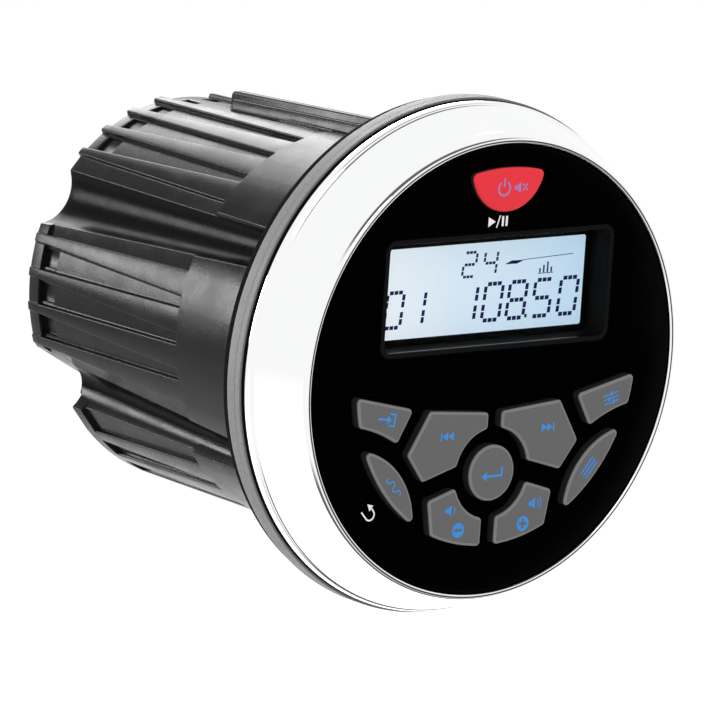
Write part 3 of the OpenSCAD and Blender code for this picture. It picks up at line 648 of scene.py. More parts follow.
BODY_R0, BODY_FALL = 39.5, 2.7 / BODY_LEN
LOBE_R0, LOBE_LEN = 41.4, BODY_LEN - 12.5
LOBE_FALL = 0.7 / LOBE_LEN
COLLAR_R = GASKET_IN - 0.25
PITCH = 11.05
STEP_R, STEP_START = 28.2, LOBE_LEN + 1.0
STEP_FLATS = (240.7, 270.0, 299.3)
LOBE_RIM = 3.2
SIDE_DROP = 2.0
GROOVE_START = 33.7
GROOVE_DEPTH = 1.0
GROOVE_W0, GROOVE_GROWTH = 2.2, 3.5
POCKET = (BODY_LEN - 8.0, BODY_LEN - 3.5)
POCKET_DEPTH = 0.6
POCKET_SHAPE = [(-0.76, 0.1), (-0.74, 0.9), (-0.7, 1.0), (0, 1.0), (0.7, 1.0), (0.74, 0.9), (0.76, 0.1)]
RIM_DROP = 0.3
FIN_LEN = BODY_LEN - 16.4
FIN_END_CUT = FIN_LEN - 0.6
FIN_FOOT = 36
END_EASE = 0.35
DEPTH_STEP = 1.6
RECESS, RECESS_LEDGE = 1.8, 6
INSERT_DEPTH = 8
EDGE = [(-0.3, 0.0), (-0.14, 0.03), (-0.04, 0.14), (0.0, 0.32), (0.02, 0.8), (0.07, 0.93), (0.2, 1.0)]


def ramp(value, low, high):
    return min(1.0, max(0.0, (value - low) / (high - low)))


def soft_step(depth, start):
    """Rises from 0 to 1 at a step across the housing, with eased edges."""
    return sum(
        share * ramp(depth - start, low, high)
        for low, high, share in ((-0.25, -0.1, 0.05), (-0.1, 0, 0.25), (0, 0.04, 0.5), (0.04, 0.2, 0.2))
    )


def scallops_at(depth):
    """Angle, distance from the axis and radius of the four scallops, anticlockwise from the upper left."""
    share = depth / BODY_LEN
    found = []
    for (r0, a0, size0), (r1, a1, size1) in (
        ((BODY_R0 + 1.1, 31.3, 3.9), (BODY_R0 + 0.5, 29.1, 7.5)),
        ((BODY_R0 + 1.3, -35.3, 2.5), (BODY_R0 + 0.5, -27.4, 5.0)),
    ):
        front = Vector((r0 * math.cos(math.radians(a0)), r0 * math.sin(math.radians(a0))))
        back = Vector((r1 * math.cos(math.radians(a1)), r1 * math.sin(math.radians(a1))))
        middle = front.lerp(back, share)
        angle = math.degrees(math.atan2(middle.y, middle.x))
        found.append((angle, middle.length, size0 + (size1 - size0) * share))
    (up, up_r, up_size), (low, low_r, low_size) = found
    return [
        (180 - up, up_r, up_size),
        (180 - low, low_r, low_size),
        (360 + low, low_r, low_size),
        (360 + up, up_r, up_size),
    ]


def edge_turn(scallop, radius):
    """Angle from a scallop's middle to its edge on a surface of that radius."""
    _, far, size = scallop
    return math.degrees(math.acos((far**2 + radius**2 - size**2) / (2 * far * radius)))


def in_scallop(x, z, depth):
    """Whether a point of the housing lies in one of the scallops."""
    angle = math.degrees(math.atan2(z, x))
    level = BODY_R0 - BODY_FALL * depth - GROOVE_DEPTH
    return any(
        abs((angle - scallop[0] + 180) % 360 - 180) < edge_turn(scallop, level)
        for scallop in scallops_at(depth)
    )


def lobe_section(depth, before, after, grooves, strips, radius, fade, length, pockets):
    """Points (angle, radius) of one lobe between the scallops before and after it."""
    cut = GROOVE_DEPTH * soft_step(depth, GROOVE_START) * fade
    across = GROOVE_W0 + GROOVE_GROWTH * ramp(depth, GROOVE_START, length + 6)
    wide = math.degrees(across / 2 / radius)
    degree = math.degrees(1 / radius)
    pocket = POCKET_DEPTH * pockets * (soft_step(depth, POCKET[0]) - soft_step(depth, POCKET[1]))
    low = radius - cut
    start, end = before[0] + edge_turn(before, low), after[0] - edge_turn(after, low)
    first, last = max(strips[0] + wide, start + 0.02), min(strips[1] - wide, end - 0.02)
    path = [(start + 0.25 * degree * k / 3, low - 0.16 * (1 - k / 3) ** 2) for k in range(4)]
    path += [(first - s * degree, radius - cut * d) for s, d in reversed(EDGE)]
    for g in grooves:
        path.append(((path[-1][0] + g - wide - 0.3 * degree) / 2, radius))
        path += [(g - wide + s * degree, radius - cut * d) for s, d in EDGE]
        path += [(g + q * wide, radius - cut - pocket * d) for q, d in POCKET_SHAPE]
        path += [(g + wide - s * degree, radius - cut * d) for s, d in reversed(EDGE)]
    path.append(((path[-1][0] + last - 0.3 * degree) / 2, radius))
    path += [(last + s * degree, radius - cut * d) for s, d in EDGE]
    path += [(end - 0.25 * degree * k / 3, low - 0.16 * (1 - k / 3) ** 2) for k in range(3, -1, -1)]
    for i in range(1, len(path)):
        path[i] = (max(path[i][0], path[i - 1][0]), path[i][1])
    return path


def scallop_section(scallop, start, end, steps=28):
    """Points of a scallop between the lobes that end and start beside it."""
    angle, far, size = scallop
    path = []
    for k in range(1, steps):
        a = start + (end - start) * k / steps
        off = math.radians(a - angle)
        path.append((a, far * math.cos(off) - math.sqrt(max(size**2 - (far * math.sin(off)) ** 2, 0.0))))
    return path


def stepped(angle, radius, share):
    """Radius after the flats that cut the bottom short behind the lower lobe."""
    limit = radius
    for flat in STEP_FLATS:
        facing = math.cos(math.radians(angle - flat))
        if facing > 0.2:
            limit = min(limit, STEP_R / facing)
    return radius + (limit - radius) * share


def section(depth):
    """Points (angle, radius) right round the housing at a depth behind the gasket."""
    body_r = BODY_R0 - BODY_FALL * depth
    on_lobe = 1 - soft_step(depth, LOBE_LEN)
    lobe_r = body_r + (LOBE_R0 - LOBE_FALL * depth - body_r) * on_lobe
    lobe_cut = 1 - soft_step(depth, LOBE_LEN - LOBE_RIM)
    side_cut = 1 - (1 - RIM_DROP / GROOVE_DEPTH) * soft_step(depth, POCKET[1])
    half = [(i + 0.5) * PITCH for i in range(-4, 4)]
    side = [i * PITCH for i in (-1, 0, 1)]
    upper_left, lower_left, lower_right, upper_right = scallops_at(depth)
    first = (upper_right[0] - 360, *upper_right[1:])
    lobes = [
        (first, upper_left, 90, half, 4.5, body_r, 1, BODY_LEN, 1),
        (upper_left, lower_left, 180 + SIDE_DROP, side, 2, body_r, side_cut, BODY_LEN, 1),
        (lower_left, lower_right, 270, half, 4.5, lobe_r, lobe_cut, LOBE_LEN, 0),
        (lower_right, upper_right, 360 - SIDE_DROP, side, 2, body_r, side_cut, BODY_LEN, 1),
    ]
    parts = [
        lobe_section(
            depth, before, after, [middle + g for g in grooves],
            (middle - ends * PITCH, middle + ends * PITCH), radius, fade, length, pockets,
        )
        for before, after, middle, grooves, ends, radius, fade, length, pockets in lobes
    ]
    path = []
    for i, scallop in enumerate((upper_left, lower_left, lower_right, upper_right)):
        end = parts[(i + 1) % 4][0][0] + (360 if i == 3 else 0)
        path += parts[i] + scallop_section(scallop, parts[i][-1][0], end)
    fin_end = soft_step(depth, FIN_END_CUT)
    level = body_r - GROOVE_DEPTH
    share = soft_step(depth, STEP_START)
    done = []
    for a, r in path:
        if abs(a - 90) < PITCH / 2:
            r -= max(r - level, 0) * fin_end
        done.append((a, stepped(a, r, share)))
    return done


def housing_ring(depth, inset=0.0):
    return [
        ((r - inset) * math.cos(math.radians(a)), (r - inset) * math.sin(math.radians(a)), -depth)
        for a, r in section(depth)
    ]


def steps_round(start):
    return [start + d for d in (-0.3, -0.25, -0.1, -0.05, 0, 0.04, 0.1, 0.2)]


def make_housing():
    last = BODY_LEN - END_EASE
    depths = {0.0, last}
    depths.update(i * DEPTH_STEP for i in range(1, int(BODY_LEN / DEPTH_STEP)))
    for start in (GROOVE_START, FIN_END_CUT, LOBE_LEN - LOBE_RIM, LOBE_LEN, STEP_START, *POCKET):
        depths = {d for d in depths if abs(d - start) > 0.5} | set(steps_round(start))
    depths = sorted(d for d in depths if 0 <= d <= last)
    rings = [housing_ring(d) for d in depths]
    rings.append([(x, z, -BODY_LEN + 0.1) for x, z, _ in housing_ring(last, 0.06)])
    rings.append([(x, z, -BODY_LEN) for x, z, _ in housing_ring(last, END_EASE)])
    angles = [math.atan2(z, x) for x, z, _ in rings[0]]
    collar = (
        (COLLAR_R - 8, RIM_BACK - 0.1),
        (COLLAR_R, RIM_BACK - 0.1),
        (COLLAR_R, 0),
        (COLLAR_R - 0.3, -0.04),
    )
    front = [[(r * math.cos(a), r * math.sin(a), h) for a in angles] for r, h in collar]
    cover_r = reach("rear_cover") + 0.2
    insert_low, insert_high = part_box("clamp_inserts")
    insert_r = (insert_high.z - insert_low.z) / 2 / MM
    insert = reach("clamp_inserts") - insert_r
    end_loops = [rings[-1], disc(0, 0, cover_r, -BODY_LEN, 160)]
    end_loops += [disc(side * insert, 0, insert_r, -BODY_LEN, 48) for side in (-1, 1)]
    recess = [
        disc(0, 0, r, -BODY_LEN + d, 160)
        for r, d in ((cover_r, 0), (cover_r, RECESS), (cover_r - RECESS_LEDGE, RECESS))
    ]
    sockets = [
        skin([disc(side * insert, 0, insert_r, -BODY_LEN + d, 48) for d in (0, INSERT_DEPTH)])
        for side in (-1, 1)
    ]
    shell = join(skin(front + rings), fill(end_loops), skin(recess), *sockets)
    # Faces in the scallops take the darker scallop material, which is painted shade.
    marks = []
    for face in shell[1]:
        x, z, h = (sum(shell[0][i][k] for i in face) / len(face) for k in range(3))
        marks.append(int(0.3 - BODY_LEN < h < 0 and in_scallop(x, z, -h)))
    return piece(
        "housing_shell", *shell, [MATS["housing"], MATS["scallop_shade"]], stands_for=["rear_housing"],
        slot="black_polymer", sharp=38, marks=marks,
    )


make_housing()


def slab(name, corners, thick, ease, mat):
    """An upright plate across x from corners (z, depth, ease), with eased edges."""
    path = rounded(corners, 5)
    middle = sum(path, Vector((0, 0))) / len(path)
    rings = []
    for x, inset in ((-1, ease), (-1, 0), (1, 0), (1, ease)):
        side = x * (thick / 2 - (0 if inset else ease))
        rings.append([(side, p.x - (ease if inset and p.x > middle.x else 0), -p.y) for p in path])
    points, faces = skin(rings)
    count = len(path)
    faces += [tuple(range(count)), tuple(range(len(points) - count, len(points)))]
    return piece(name, points, faces, [mat], slot="black_polymer", sharp=50)


FIN_TOP, FIN_END = COLLAR_R - 0.2, COLLAR_R - 3.7
slab(
    "top_fin",
    [(FIN_FOOT, 0, 0), (FIN_TOP, 0, 0), (FIN_END, FIN_LEN, 1.1), (FIN_FOOT, FIN_LEN, 0)],
    1.6, 0.2, MATS["housing"],
)
slab(
    "top_fin_shoulder",
    [
        (FIN_FOOT, 0, 0),
        (FIN_TOP - 1.5, 0, 0),
        (FIN_END - 1.5 + 0.1, FIN_LEN - 2, 0.4),
        (FIN_FOOT, FIN_LEN - 2, 0),
    ],
    4.0, 0.2, MATS["housing"],
)


# Display: mask, lit field and segments


def flat(name, shapes, h, mat, body="receiver", slot=None):
    """Thin printed shapes on a face at height h; each shape is a list of (x, z)."""
    points, faces = [], []
    for shape in shapes:
        faces.append(tuple(range(len(points), len(points) + len(shape))))
        points += [(x, z, h) for x, z in shape]
    made = piece(name, points, faces, [mat], body, slot=slot)
    for polygon in made.data.polygons:
        if polygon.normal.y > 0:
            polygon.flip()
    return made


# Size of the lit field, how far it sits below the opening's middle, and the x where its tint begins and ends
FIELD_W, FIELD_H, FIELD_DROP = 51.6, 17.9, 0.35
TINT_LEFT, TINT_RIGHT = -0.027, 0.026
GLOW = 0.72


def make_lcd():
    low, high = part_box("lcd_panel")
    w, h = (high.x - low.x) / MM, (high.z - low.z) / MM
    plate = rounded_box(w, h, 0.5, (high.z + low.z) / 2 / MM, 3)
    steps = ((0, LCD_BACK), (0, LCD_TOP - 0.2), (-0.2, LCD_TOP))
    rings = [ring(plate, grow, at_h) for grow, at_h in steps]
    points, faces = skin(rings)
    count = len(plate)
    faces += [tuple(range(count)), tuple(range(len(points) - count, len(points)))]
    piece("lcd_plate", points, faces, [MATS["mask"]], stands_for=["lcd_panel"], slot="display_glass")

    glow = material("lcd_glow", (0.25, 0.28, 0.3), 0.3, Emission_Strength=GLOW)
    shader = glow.node_tree.nodes["Principled BSDF"]
    place = node(glow, "ShaderNodeTexCoord")
    parts = node(glow, "ShaderNodeSeparateXYZ")
    across = node(glow, "ShaderNodeMapRange", From_Min=TINT_LEFT, From_Max=TINT_RIGHT)
    shades = node(glow, "ShaderNodeValToRGB")
    shades.color_ramp.elements[0].color = (*srgb("f2faff"), 1)
    shades.color_ramp.elements[1].color = (*srgb("b9dcf4"), 1)
    middle = shades.color_ramp.elements.new(0.45)
    middle.color = (*srgb("d4eafb"), 1)
    wire(glow, place.outputs["Object"], parts.inputs["Vector"])
    wire(glow, parts.outputs["X"], across.inputs["Value"])
    wire(glow, across.outputs["Result"], shades.inputs["Fac"])
    wire(glow, shades.outputs["Color"], shader.inputs["Emission Color"])
    field = rounded_box(FIELD_W, FIELD_H, 0.5, DISPLAY_Z - FIELD_DROP, 4)
    flat("lcd_field", [[(x, z) for x, z, _, _ in field]], LCD_TOP + PRINT, glow, slot="display_glass")


SEGMENTS = {
    "a": ((0, 1), (1, 1)),
    "b": ((1, 1), (1, 0.5)),
    "c": ((1, 0.5), (1, 0)),
    "d": ((0, 0), (1, 0)),
    "e": ((0, 0.5), (0, 0)),
    "f": ((0, 1), (0, 0.5)),
    "g": ((0, 0.5), (1, 0.5)),
}
DIGITS = {"0": "abcdef", "1": "bc", "2": "abged", "4": "fgbc", "5": "afgcd", "8": "abcdefg"}


def digit_shapes(sign, x, z, w, h, thick, lean=0.1):
    """Dashed segments of one digit, leaning to the right."""
    shapes = []
    for name in DIGITS[sign]:
        (ax, az), (bx, bz) = SEGMENTS[name]
        level = az == bz
        dashes, trim = (3, 0.08) if level else (2, 0.1)
        for k in range(dashes):
            t0 = trim + (1 - 2 * trim) * (k + 0.06) / dashes
            t1 = trim + (1 - 2 * trim) * (k + 0.9) / dashes
            px0, pz0 = x + (ax + (bx - ax) * t0) * w, z + (az + (bz - az) * t0) * h
            px1, pz1 = x + (ax + (bx - ax) * t1) * w, z + (az + (bz - az) * t1) * h
            dx, dz = (0, thick / 2) if level else (thick / 2, 0)
            dash = [(px0 - dx, pz0 - dz), (px1 - dx, pz1 - dz), (px1 + dx, pz1 + dz), (px0 + dx, pz0 + dz)]
            shapes.append([(px + (pz - z) * lean, pz) for px, pz in dash])
    return shapes


def make_digits():
    shapes = []
    for sign, x in (("1", -5.6), ("0", 0.7), ("8", 6.8), ("5", 13.2), ("0", 19.7)):
        shapes += digit_shapes(sign, x, 8.6, 4.3, 7.2, 0.8)
    for sign, x in (("0", -23.6), ("1", -18.2)):
        shapes += digit_shapes(sign, x, 8.7, 4.0, 6.9, 0.75)
    for sign, x in (("2", -4.9), ("4", 0.3)):
        shapes += digit_shapes(sign, x, 17.6, 3.1, 4.8, 0.55)
    shapes.append([(11.5, 8.5), (12.1, 8.5), (12.15, 9.2), (11.55, 9.2)])
    shapes.append([(5.7, 19.5), (8.8, 19.45), (10.6, 20.1), (7.4, 20.15)])
    shapes.append([(10.0, 20.05), (22.9, 20.5), (22.9, 20.65), (10.4, 20.2)])
    for k, tall in enumerate((0.9, 1.5, 2.1, 1.0)):
        x = 14.5 + k * 0.95
        shapes.append([(x, 17.25), (x + 0.4, 17.25), (x + 0.4, 17.25 + tall), (x, 17.25 + tall)])
    shapes.append([(14.2, 17.05), (18.1, 17.05), (18.1, 17.2), (14.2, 17.2)])
    flat("lcd_segments", shapes, LCD_TOP + 2 * PRINT, MATS["digit"], slot="display_glass")


make_lcd()
make_digits()


# Printed marks: plain symbols only


def arc_band(cx, cz, r, width, start, end, steps=24):
    """A curved stroke as one closed shape."""
    outer, inner = [], []
    for k in range(steps + 1):
        a = math.radians(start + (end - start) * k / steps)
        outer.append((cx + (r + width / 2) * math.cos(a), cz + (r + width / 2) * math.sin(a)))
        inner.append((cx + (r - width / 2) * math.cos(a), cz + (r - width / 2) * math.sin(a)))
    return outer + inner[::-1]


def bar(ax, az, bx, bz, width):
    """A straight stroke."""
    length = math.hypot(bx - ax, bz - az)
    nx, nz = -(bz - az) / length * width / 2, (bx - ax) / length * width / 2
    return [(ax - nx, az - nz), (bx - nx, bz - nz), (bx + nx, bz + nz), (ax + nx, az + nz)]


def moved(shapes, x, z, turn=0.0):
    c, s = math.cos(math.radians(turn)), math.sin(math.radians(turn))
    return [[(x + px * c - pz * s, z + px * s + pz * c) for px, pz in shape] for shape in shapes]


def make_marks():
    on_key, on_power, on_face = KEY_TOP + PRINT, POWER_TOP + PRINT, FACE_TOP + PRINT
    skip = [
        [(-1.6, -0.85), (-0.2, 0.0), (-1.6, 0.85)],
        [(-0.2, -0.85), (1.2, 0.0), (-0.2, 0.85)],
        [(1.25, -0.85), (1.6, -0.85), (1.6, 0.85), (1.25, 0.85)],
    ]
    flat("next_mark", moved(skip, 13.3, -12.0), on_key, MATS["blue"], "next_button")
    back = [[(-x, z) for x, z in reversed(shape)] for shape in skip]
    flat("previous_mark", moved(back, -11.9, -12.0), on_key, MATS["blue"], "previous_button")

    cone = [
        [(-1.5, -0.45), (-0.9, -0.45), (-0.9, 0.45), (-1.5, 0.45)],
        [(-0.85, -0.5), (0.05, -1.1), (0.05, 1.1), (-0.85, 0.5)],
    ]
    small = cone + [arc_band(-0.1, 0, 0.95, 0.28, -42, 42, 10)]
    large = small + [arc_band(-0.1, 0, 1.65, 0.28, -42, 42, 12)]
    flat("volume_down_speaker", moved(small, -9.6, -26.9), on_key, MATS["blue"], "volume_down_button")
    flat("volume_up_speaker", moved(large, 11.3, -27.1), on_key, MATS["blue"], "volume_up_button")
    for name, x, body in (("minus", -7.6, "volume_down_button"), ("plus", 8.6, "volume_up_button")):
        dot = [(px, pz) for px, pz, _ in disc(x, -31.0, 1.5, 0, 40)]
        flat(name + "_disc", [dot], on_key, MATS["blue"], body)
        strokes = [bar(x - 0.95, -31.0, x + 0.95, -31.0, 0.5)]
        if name == "plus":
            strokes += [bar(x, -31.95, x, -31.25, 0.5), bar(x, -30.75, x, -30.05, 0.5)]
        flat(name + "_sign", strokes, on_key + PRINT, MATS["key"], body)

    arrow_in = [
        bar(-2.4, 0, -0.1, 0, 0.46),
        [(-0.1, -0.85), (1.1, 0), (-0.1, 0.85)],
        [
            (0.4, 1.35), (0.4, 1.0), (1.6, 1.0), (1.6, -1.0),
            (0.4, -1.0), (0.4, -1.35), (2.0, -1.35), (2.0, 1.35),
        ],
    ]
    flat("source_mark", moved(arrow_in, -27.0, -7.5, -8), on_key, MATS["blue"], "source_button")
    sliders = []
    for k, knob in enumerate((0.5, -0.6, 0.2)):
        z = (k - 1) * 0.85
        left, right = knob - 0.35, knob + 0.35
        sliders += [
            bar(-2, z, knob - 0.45, z, 0.26),
            bar(knob + 0.45, z, 2, z, 0.26),
            [(left, z - 0.4), (right, z - 0.4), (right, z + 0.4), (left, z + 0.4)],
        ]
    flat("function_mark", moved(sliders, 29.0, -7.4, 13), on_key, MATS["blue"], "function_button")
    waves = [
        arc_band(-1.8 + 1.2 * k, 0, 0.6, 0.3, 0 if k % 2 else 180, 180 if k % 2 else 360, 14)
        for k in range(4)
    ]
    flat("band_mark", moved(waves, -24.4, -21.0, -50), on_key, MATS["blue"], "band_button")
    lines = [bar(-2.1, z, 2.1, z, 0.34) for z in (-0.8, 0, 0.8)]
    flat("menu_mark", moved(lines, 24.6, -21.0, 50), on_key, MATS["blue"], "menu_button")
    enter = [
        bar(-1.5, 0, 2.4, 0, 0.46),
        bar(2.17, 0.23, 2.17, 1.7, 0.46),
        [(-2.8, 0), (-1.5, -0.95), (-1.5, 0.95)],
    ]
    flat("enter_mark", moved(enter, 0.2, ENTER[1] - 0.6), on_key, MATS["blue"], "enter_button")

    power = [arc_band(0, 0, 1.4, 0.44, 125, 415, 30), bar(0, 0.3, 0, 2.0, 0.44)]
    flat("power_mark", moved(power, -1.2, 36.2), on_power, MATS["mauve"], "power_button")
    strike = [
        bar(0.5, -0.7, 1.7, 0.7, 0.32),
        bar(0.5, 0.7, 0.95, 0.18, 0.32),
        bar(1.25, -0.18, 1.7, -0.7, 0.32),
    ]
    flat("mute_mark", moved(cone + strike, 2.9, 36.2), on_power, MATS["mauve"], "power_button")

    play = [
        [(-3.8, 28.5), (-2.0, 29.5), (-3.8, 30.5)],
        bar(-1.7, 28.3, -0.9, 30.7, 0.28),
        bar(-0.2, 28.5, -0.2, 30.5, 0.5),
        bar(0.75, 28.5, 0.75, 30.5, 0.5),
    ]
    flat("play_mark", play, on_face, MATS["white"])
    hook = [
        bar(-1.9, 0.1, -0.62, -1.33, 0.34),
        arc_band(0.2, -0.6, 1.1, 0.34, 222, 400, 20),
        bar(1.04, 0.11, 0.5, 0.75, 0.34),
        [(0.95, 1.2), (-0.55, 1.6), (0.1, 0.1)],
    ]
    flat("return_mark", moved(hook, -28.6, -26.0), on_face, MATS["white"])


make_marks()


# Screws with a cross recess, and the remaining CAD pieces


def make_screws():
    steps, head_r, head_h, recess = 48, 2.1, 1.5, 0.8
    middle = reach("cover_screws") - head_r
    profile = [
        (head_r, 0),
        (head_r, -0.55),
        (head_r - 0.18, -0.9),
        (head_r - 0.6, -1.25),
        (1.25, -1.44),
    ]
    cross = []
    for a in circle(steps):
        arm = 1.05 if abs(math.sin(2 * a)) < 0.5 else 0.42
        cross.append((arm * math.cos(a), arm * math.sin(a)))
    heads = []
    for x in (-middle, middle):
        for z in (-middle, middle):
            rings = [disc(x, z, r, -BODY_LEN + h, steps) for r, h in profile]
            for share, h in ((1, -head_h), (0.75, -head_h + recess)):
                rings.append([(x + px * share, z + pz * share, -BODY_LEN + h) for px, pz in cross])
            points, faces = skin(rings)
            faces.append(tuple(range(len(points) - steps, len(points))))
            heads.append((points, faces))
    piece(
        "cover_screw_heads", *join(*heads), [MATS["steel"]],
        stands_for=["cover_screws"], slot="screw_steel", sharp=35,
    )


make_screws()

DRESS = {
    "rear_cover": "housing",
    "cover_seal": "rubber",
    "cable_grommet": "rubber",
    "antenna_socket": "nickel",
    "clamp_inserts": "brass",
    "housing_seal": "rubber",
    "housing_screws": "steel",
    "display_window": "window",
    "display_shroud": "shroud",
    "lcd_backlight": "guide",
    "lcd_contact_strip": "pink",
    "keypad_mat": "silicone",
    "front_board": "board",
    "tact_switches": "moulding",
    "front_board_screws": "steel",
    "board_header": "cream",
    "board_socket": "moulding",
    "main_board": "board",
    "amplifier_chip": "moulding",
    "heat_sink": "aluminium",
    "amplifier_screws": "steel",
    "tuner_module": "nickel",
    "filter_capacitors": "sleeve",
    "choke_coil": "copper",
    "main_board_screws": "steel",
}
for name, mat in DRESS.items():
    nodes[name].data.materials.clear()
    nodes[name].data.materials.append(MATS[mat])
EASED = {"rear_cover": 0.3, "cable_grommet": 0.4, "antenna_socket": 0.25, "clamp_inserts": 0.15}
for name, width in EASED.items():
    ease = nodes[name].modifiers.new("ease", "BEVEL")
    ease.width = width * MM
    ease.segments = 3
    ease.limit_method = "ANGLE"
    ease.angle_limit = math.radians(40)


# Camera, fitted to the circles in the photo: azimuth, elevation and roll in degrees, and its place in
# millimetres from the middle of the lip

CAMERA_TURN = (38.7036, 11.3099, 3.8327)
CAMERA_BACK, CAMERA_RIGHT, CAMERA_UP = 1750.3, -27.6629, 3.531
SENSOR_MM, FOCAL_PX, IMAGE_PX = 36, 9000, 704


def make_camera():
    a, e, roll = (math.radians(v) for v in CAMERA_TURN)
    back = Vector((-math.sin(a) * math.cos(e), -math.cos(a) * math.cos(e), math.sin(e)))
    level = Vector((math.cos(a), -math.sin(a), 0))
    rise = back.cross(level)
    right = level * math.cos(roll) + rise * math.sin(roll)
    up = rise * math.cos(roll) - level * math.sin(roll)
    data = bpy.data.cameras.new("camera")
    data.sensor_width = SENSOR_MM
    data.lens = SENSOR_MM * FOCAL_PX / IMAGE_PX
    data.clip_start, data.clip_end = 0.05, 60
    made = bpy.data.objects.new("camera", data)
    place = at(0, 0, LIP_H) + (back * CAMERA_BACK + right * CAMERA_RIGHT + up * CAMERA_UP) * MM
    turn = Matrix((right, up, back)).transposed().to_4x4()
    made.matrix_world = Matrix.Translation(place) @ turn
    scene.collection.objects.link(made)
    scene.camera = made


# Floor and light, in metres

WHITE = (1, 1, 1, 1)
FLOOR_SIZE, FLOOR_FRONT, FLOOR_Z = 8.0, -0.04, -0.3
FLOOR_LIFT = 0.3
ROOM_LEVEL = 0.86
# What the chrome mirrors besides white: a strip of directions ahead of the part, dark where it is high
# or low, and the dark side that the face looks at
STRIP_Y, STRIP_LEVEL = -0.33, 0.12
STRIP_HALF, STRIP_FADE = 0.18, 0.3
STRIP_LOW, STRIP_HIGH = 0.6, 0.8
FRONT_TO, FRONT_LEVEL = (0.45, -0.87, -0.2), 0.05
FRONT_HALF, FRONT_FADE = 20, 34
LAMP_AIM = (0, 0.03, 0)
GRID = math.radians(90)
LAMPS = (
    ("key_light", (-0.7, -1.1, 1.3), 0.9, 3.5, math.pi),
    ("left_light", (-0.8, 1.0, 0.17), 0.45, 3.6, GRID),
    ("rear_light", (0.5, 1.08, 0.82), 1.1, 6.5, GRID),
)


def make_floor():
    mesh = bpy.data.meshes.new("floor")
    sides = ((-1, FLOOR_FRONT), (1, FLOOR_FRONT), (1, FLOOR_SIZE), (-1, FLOOR_SIZE))
    mesh.from_pydata([(x * FLOOR_SIZE, y, FLOOR_Z) for x, y in sides], [], [(0, 1, 2, 3)])
    mat = material("floor_white", (0.8, 0.8, 0.8), 0.9, Emission_Color=WHITE)
    grain(mat, 3.0, 0.0, None, ((0.79, 0.79, 0.79), (0.81, 0.81, 0.81)))
    path = node(mat, "ShaderNodeLightPath")
    seen = node(mat, "ShaderNodeMath", operation="MAXIMUM")
    shown = node(mat, "ShaderNodeMath", operation="MAXIMUM")
    lift = node(mat, "ShaderNodeMath", operation="MULTIPLY")
    lift.inputs[1].default_value = FLOOR_LIFT
    shader = mat.node_tree.nodes["Principled BSDF"]
    wire(mat, path.outputs["Is Camera Ray"], seen.inputs[0])
    wire(mat, path.outputs["Is Glossy Ray"], seen.inputs[1])
    wire(mat, seen.outputs["Value"], shown.inputs[0])
    wire(mat, path.outputs["Is Transmission Ray"], shown.inputs[1])
    wire(mat, shown.outputs["Value"], lift.inputs[0])
    wire(mat, lift.outputs["Value"], shader.inputs["Emission Strength"])
    mesh.materials.append(mat)
    made = bpy.data.objects.new("floor", mesh)
    scene.collection.objects.link(made)


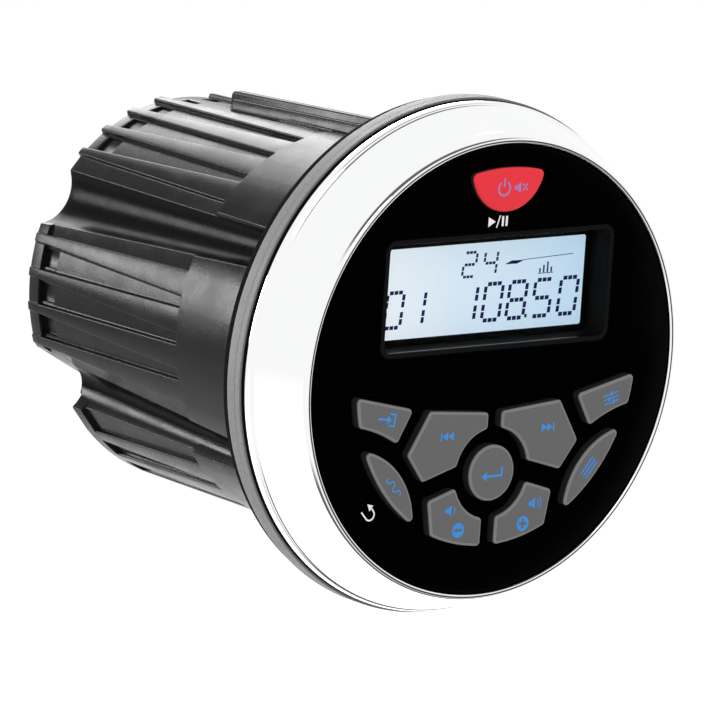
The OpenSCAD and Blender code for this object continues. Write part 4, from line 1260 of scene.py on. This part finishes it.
def make_world():
    """White to the camera, even light on the part, and a studio for the chrome and the window to show."""
    world = bpy.data.worlds.new("studio")
    world.use_nodes = True
    scene.world = world
    world.node_tree.nodes.clear()

    def soft_range(low, high, start, end):
        return node(
            world, "ShaderNodeMapRange", interpolation_type="SMOOTHSTEP",
            From_Min=low, From_Max=high, To_Min=start, To_Max=end,
        )

    room = node(world, "ShaderNodeBackground", Color=(ROOM_LEVEL, ROOM_LEVEL, ROOM_LEVEL, 1))
    white = node(world, "ShaderNodeBackground", Color=WHITE)
    studio = node(world, "ShaderNodeBackground", Color=WHITE)
    place = node(world, "ShaderNodeTexCoord")
    parts = node(world, "ShaderNodeSeparateXYZ")
    across = node(world, "ShaderNodeMath", operation="SUBTRACT")
    across.inputs[1].default_value = STRIP_Y
    beside = node(world, "ShaderNodeMath", operation="ABSOLUTE")
    height = node(world, "ShaderNodeMath", operation="ABSOLUTE")
    within = soft_range(STRIP_HALF, STRIP_FADE, STRIP_LEVEL - 1, 0)
    beyond = soft_range(STRIP_LOW, STRIP_HIGH, 0, 1)
    strip = node(world, "ShaderNodeMath", operation="MULTIPLY_ADD")
    strip.inputs[2].default_value = 1
    facing = node(world, "ShaderNodeVectorMath", operation="DOT_PRODUCT")
    facing.inputs[1].default_value = Vector(FRONT_TO).normalized()
    front_edges = (math.cos(math.radians(v)) for v in (FRONT_FADE, FRONT_HALF))
    ahead = soft_range(*front_edges, 1, FRONT_LEVEL)
    level = node(world, "ShaderNodeMath", operation="MULTIPLY")
    path = node(world, "ShaderNodeLightPath")
    mirrored_ray = node(world, "ShaderNodeMath", operation="MAXIMUM")
    gloss = node(world, "ShaderNodeMixShader")
    pick = node(world, "ShaderNodeMixShader")
    out = node(world, "ShaderNodeOutputWorld")
    for start, end in (
        (place.outputs["Generated"], parts.inputs["Vector"]),
        (parts.outputs["Y"], across.inputs[0]),
        (across.outputs["Value"], beside.inputs[0]),
        (beside.outputs["Value"], within.inputs["Value"]),
        (parts.outputs["Z"], height.inputs[0]),
        (height.outputs["Value"], beyond.inputs["Value"]),
        (within.outputs["Result"], strip.inputs[0]),
        (beyond.outputs["Result"], strip.inputs[1]),
        (place.outputs["Generated"], facing.inputs[0]),
        (facing.outputs["Value"], ahead.inputs["Value"]),
        (strip.outputs["Value"], level.inputs[0]),
        (ahead.outputs["Result"], level.inputs[1]),
        (level.outputs["Value"], studio.inputs["Strength"]),
        (path.outputs["Is Glossy Ray"], mirrored_ray.inputs[0]),
        (path.outputs["Is Transmission Ray"], mirrored_ray.inputs[1]),
        (mirrored_ray.outputs["Value"], gloss.inputs["Fac"]),
        (room.outputs["Background"], gloss.inputs[1]),
        (studio.outputs["Background"], gloss.inputs[2]),
        (path.outputs["Is Camera Ray"], pick.inputs["Fac"]),
        (gloss.outputs["Shader"], pick.inputs[1]),
        (white.outputs["Background"], pick.inputs[2]),
        (pick.outputs["Shader"], out.inputs["Surface"]),
    ):
        wire(world, start, end)


def make_lamp(name, place, size, power, spread):
    """A round area lamp aimed at the part; a small spread keeps its light off the floor."""
    data = bpy.data.lights.new(name, "AREA")
    data.shape = "DISK"
    data.size = size
    data.energy = power
    data.spread = spread
    made = bpy.data.objects.new(name, data)
    made.location = place
    made.rotation_euler = (Vector(LAMP_AIM) - Vector(place)).to_track_quat("-Z", "Y").to_euler()
    scene.collection.objects.link(made)


make_camera()
make_floor()
make_world()
for lamp in LAMPS:
    make_lamp(*lamp)

scene.view_settings.view_transform = "Standard"
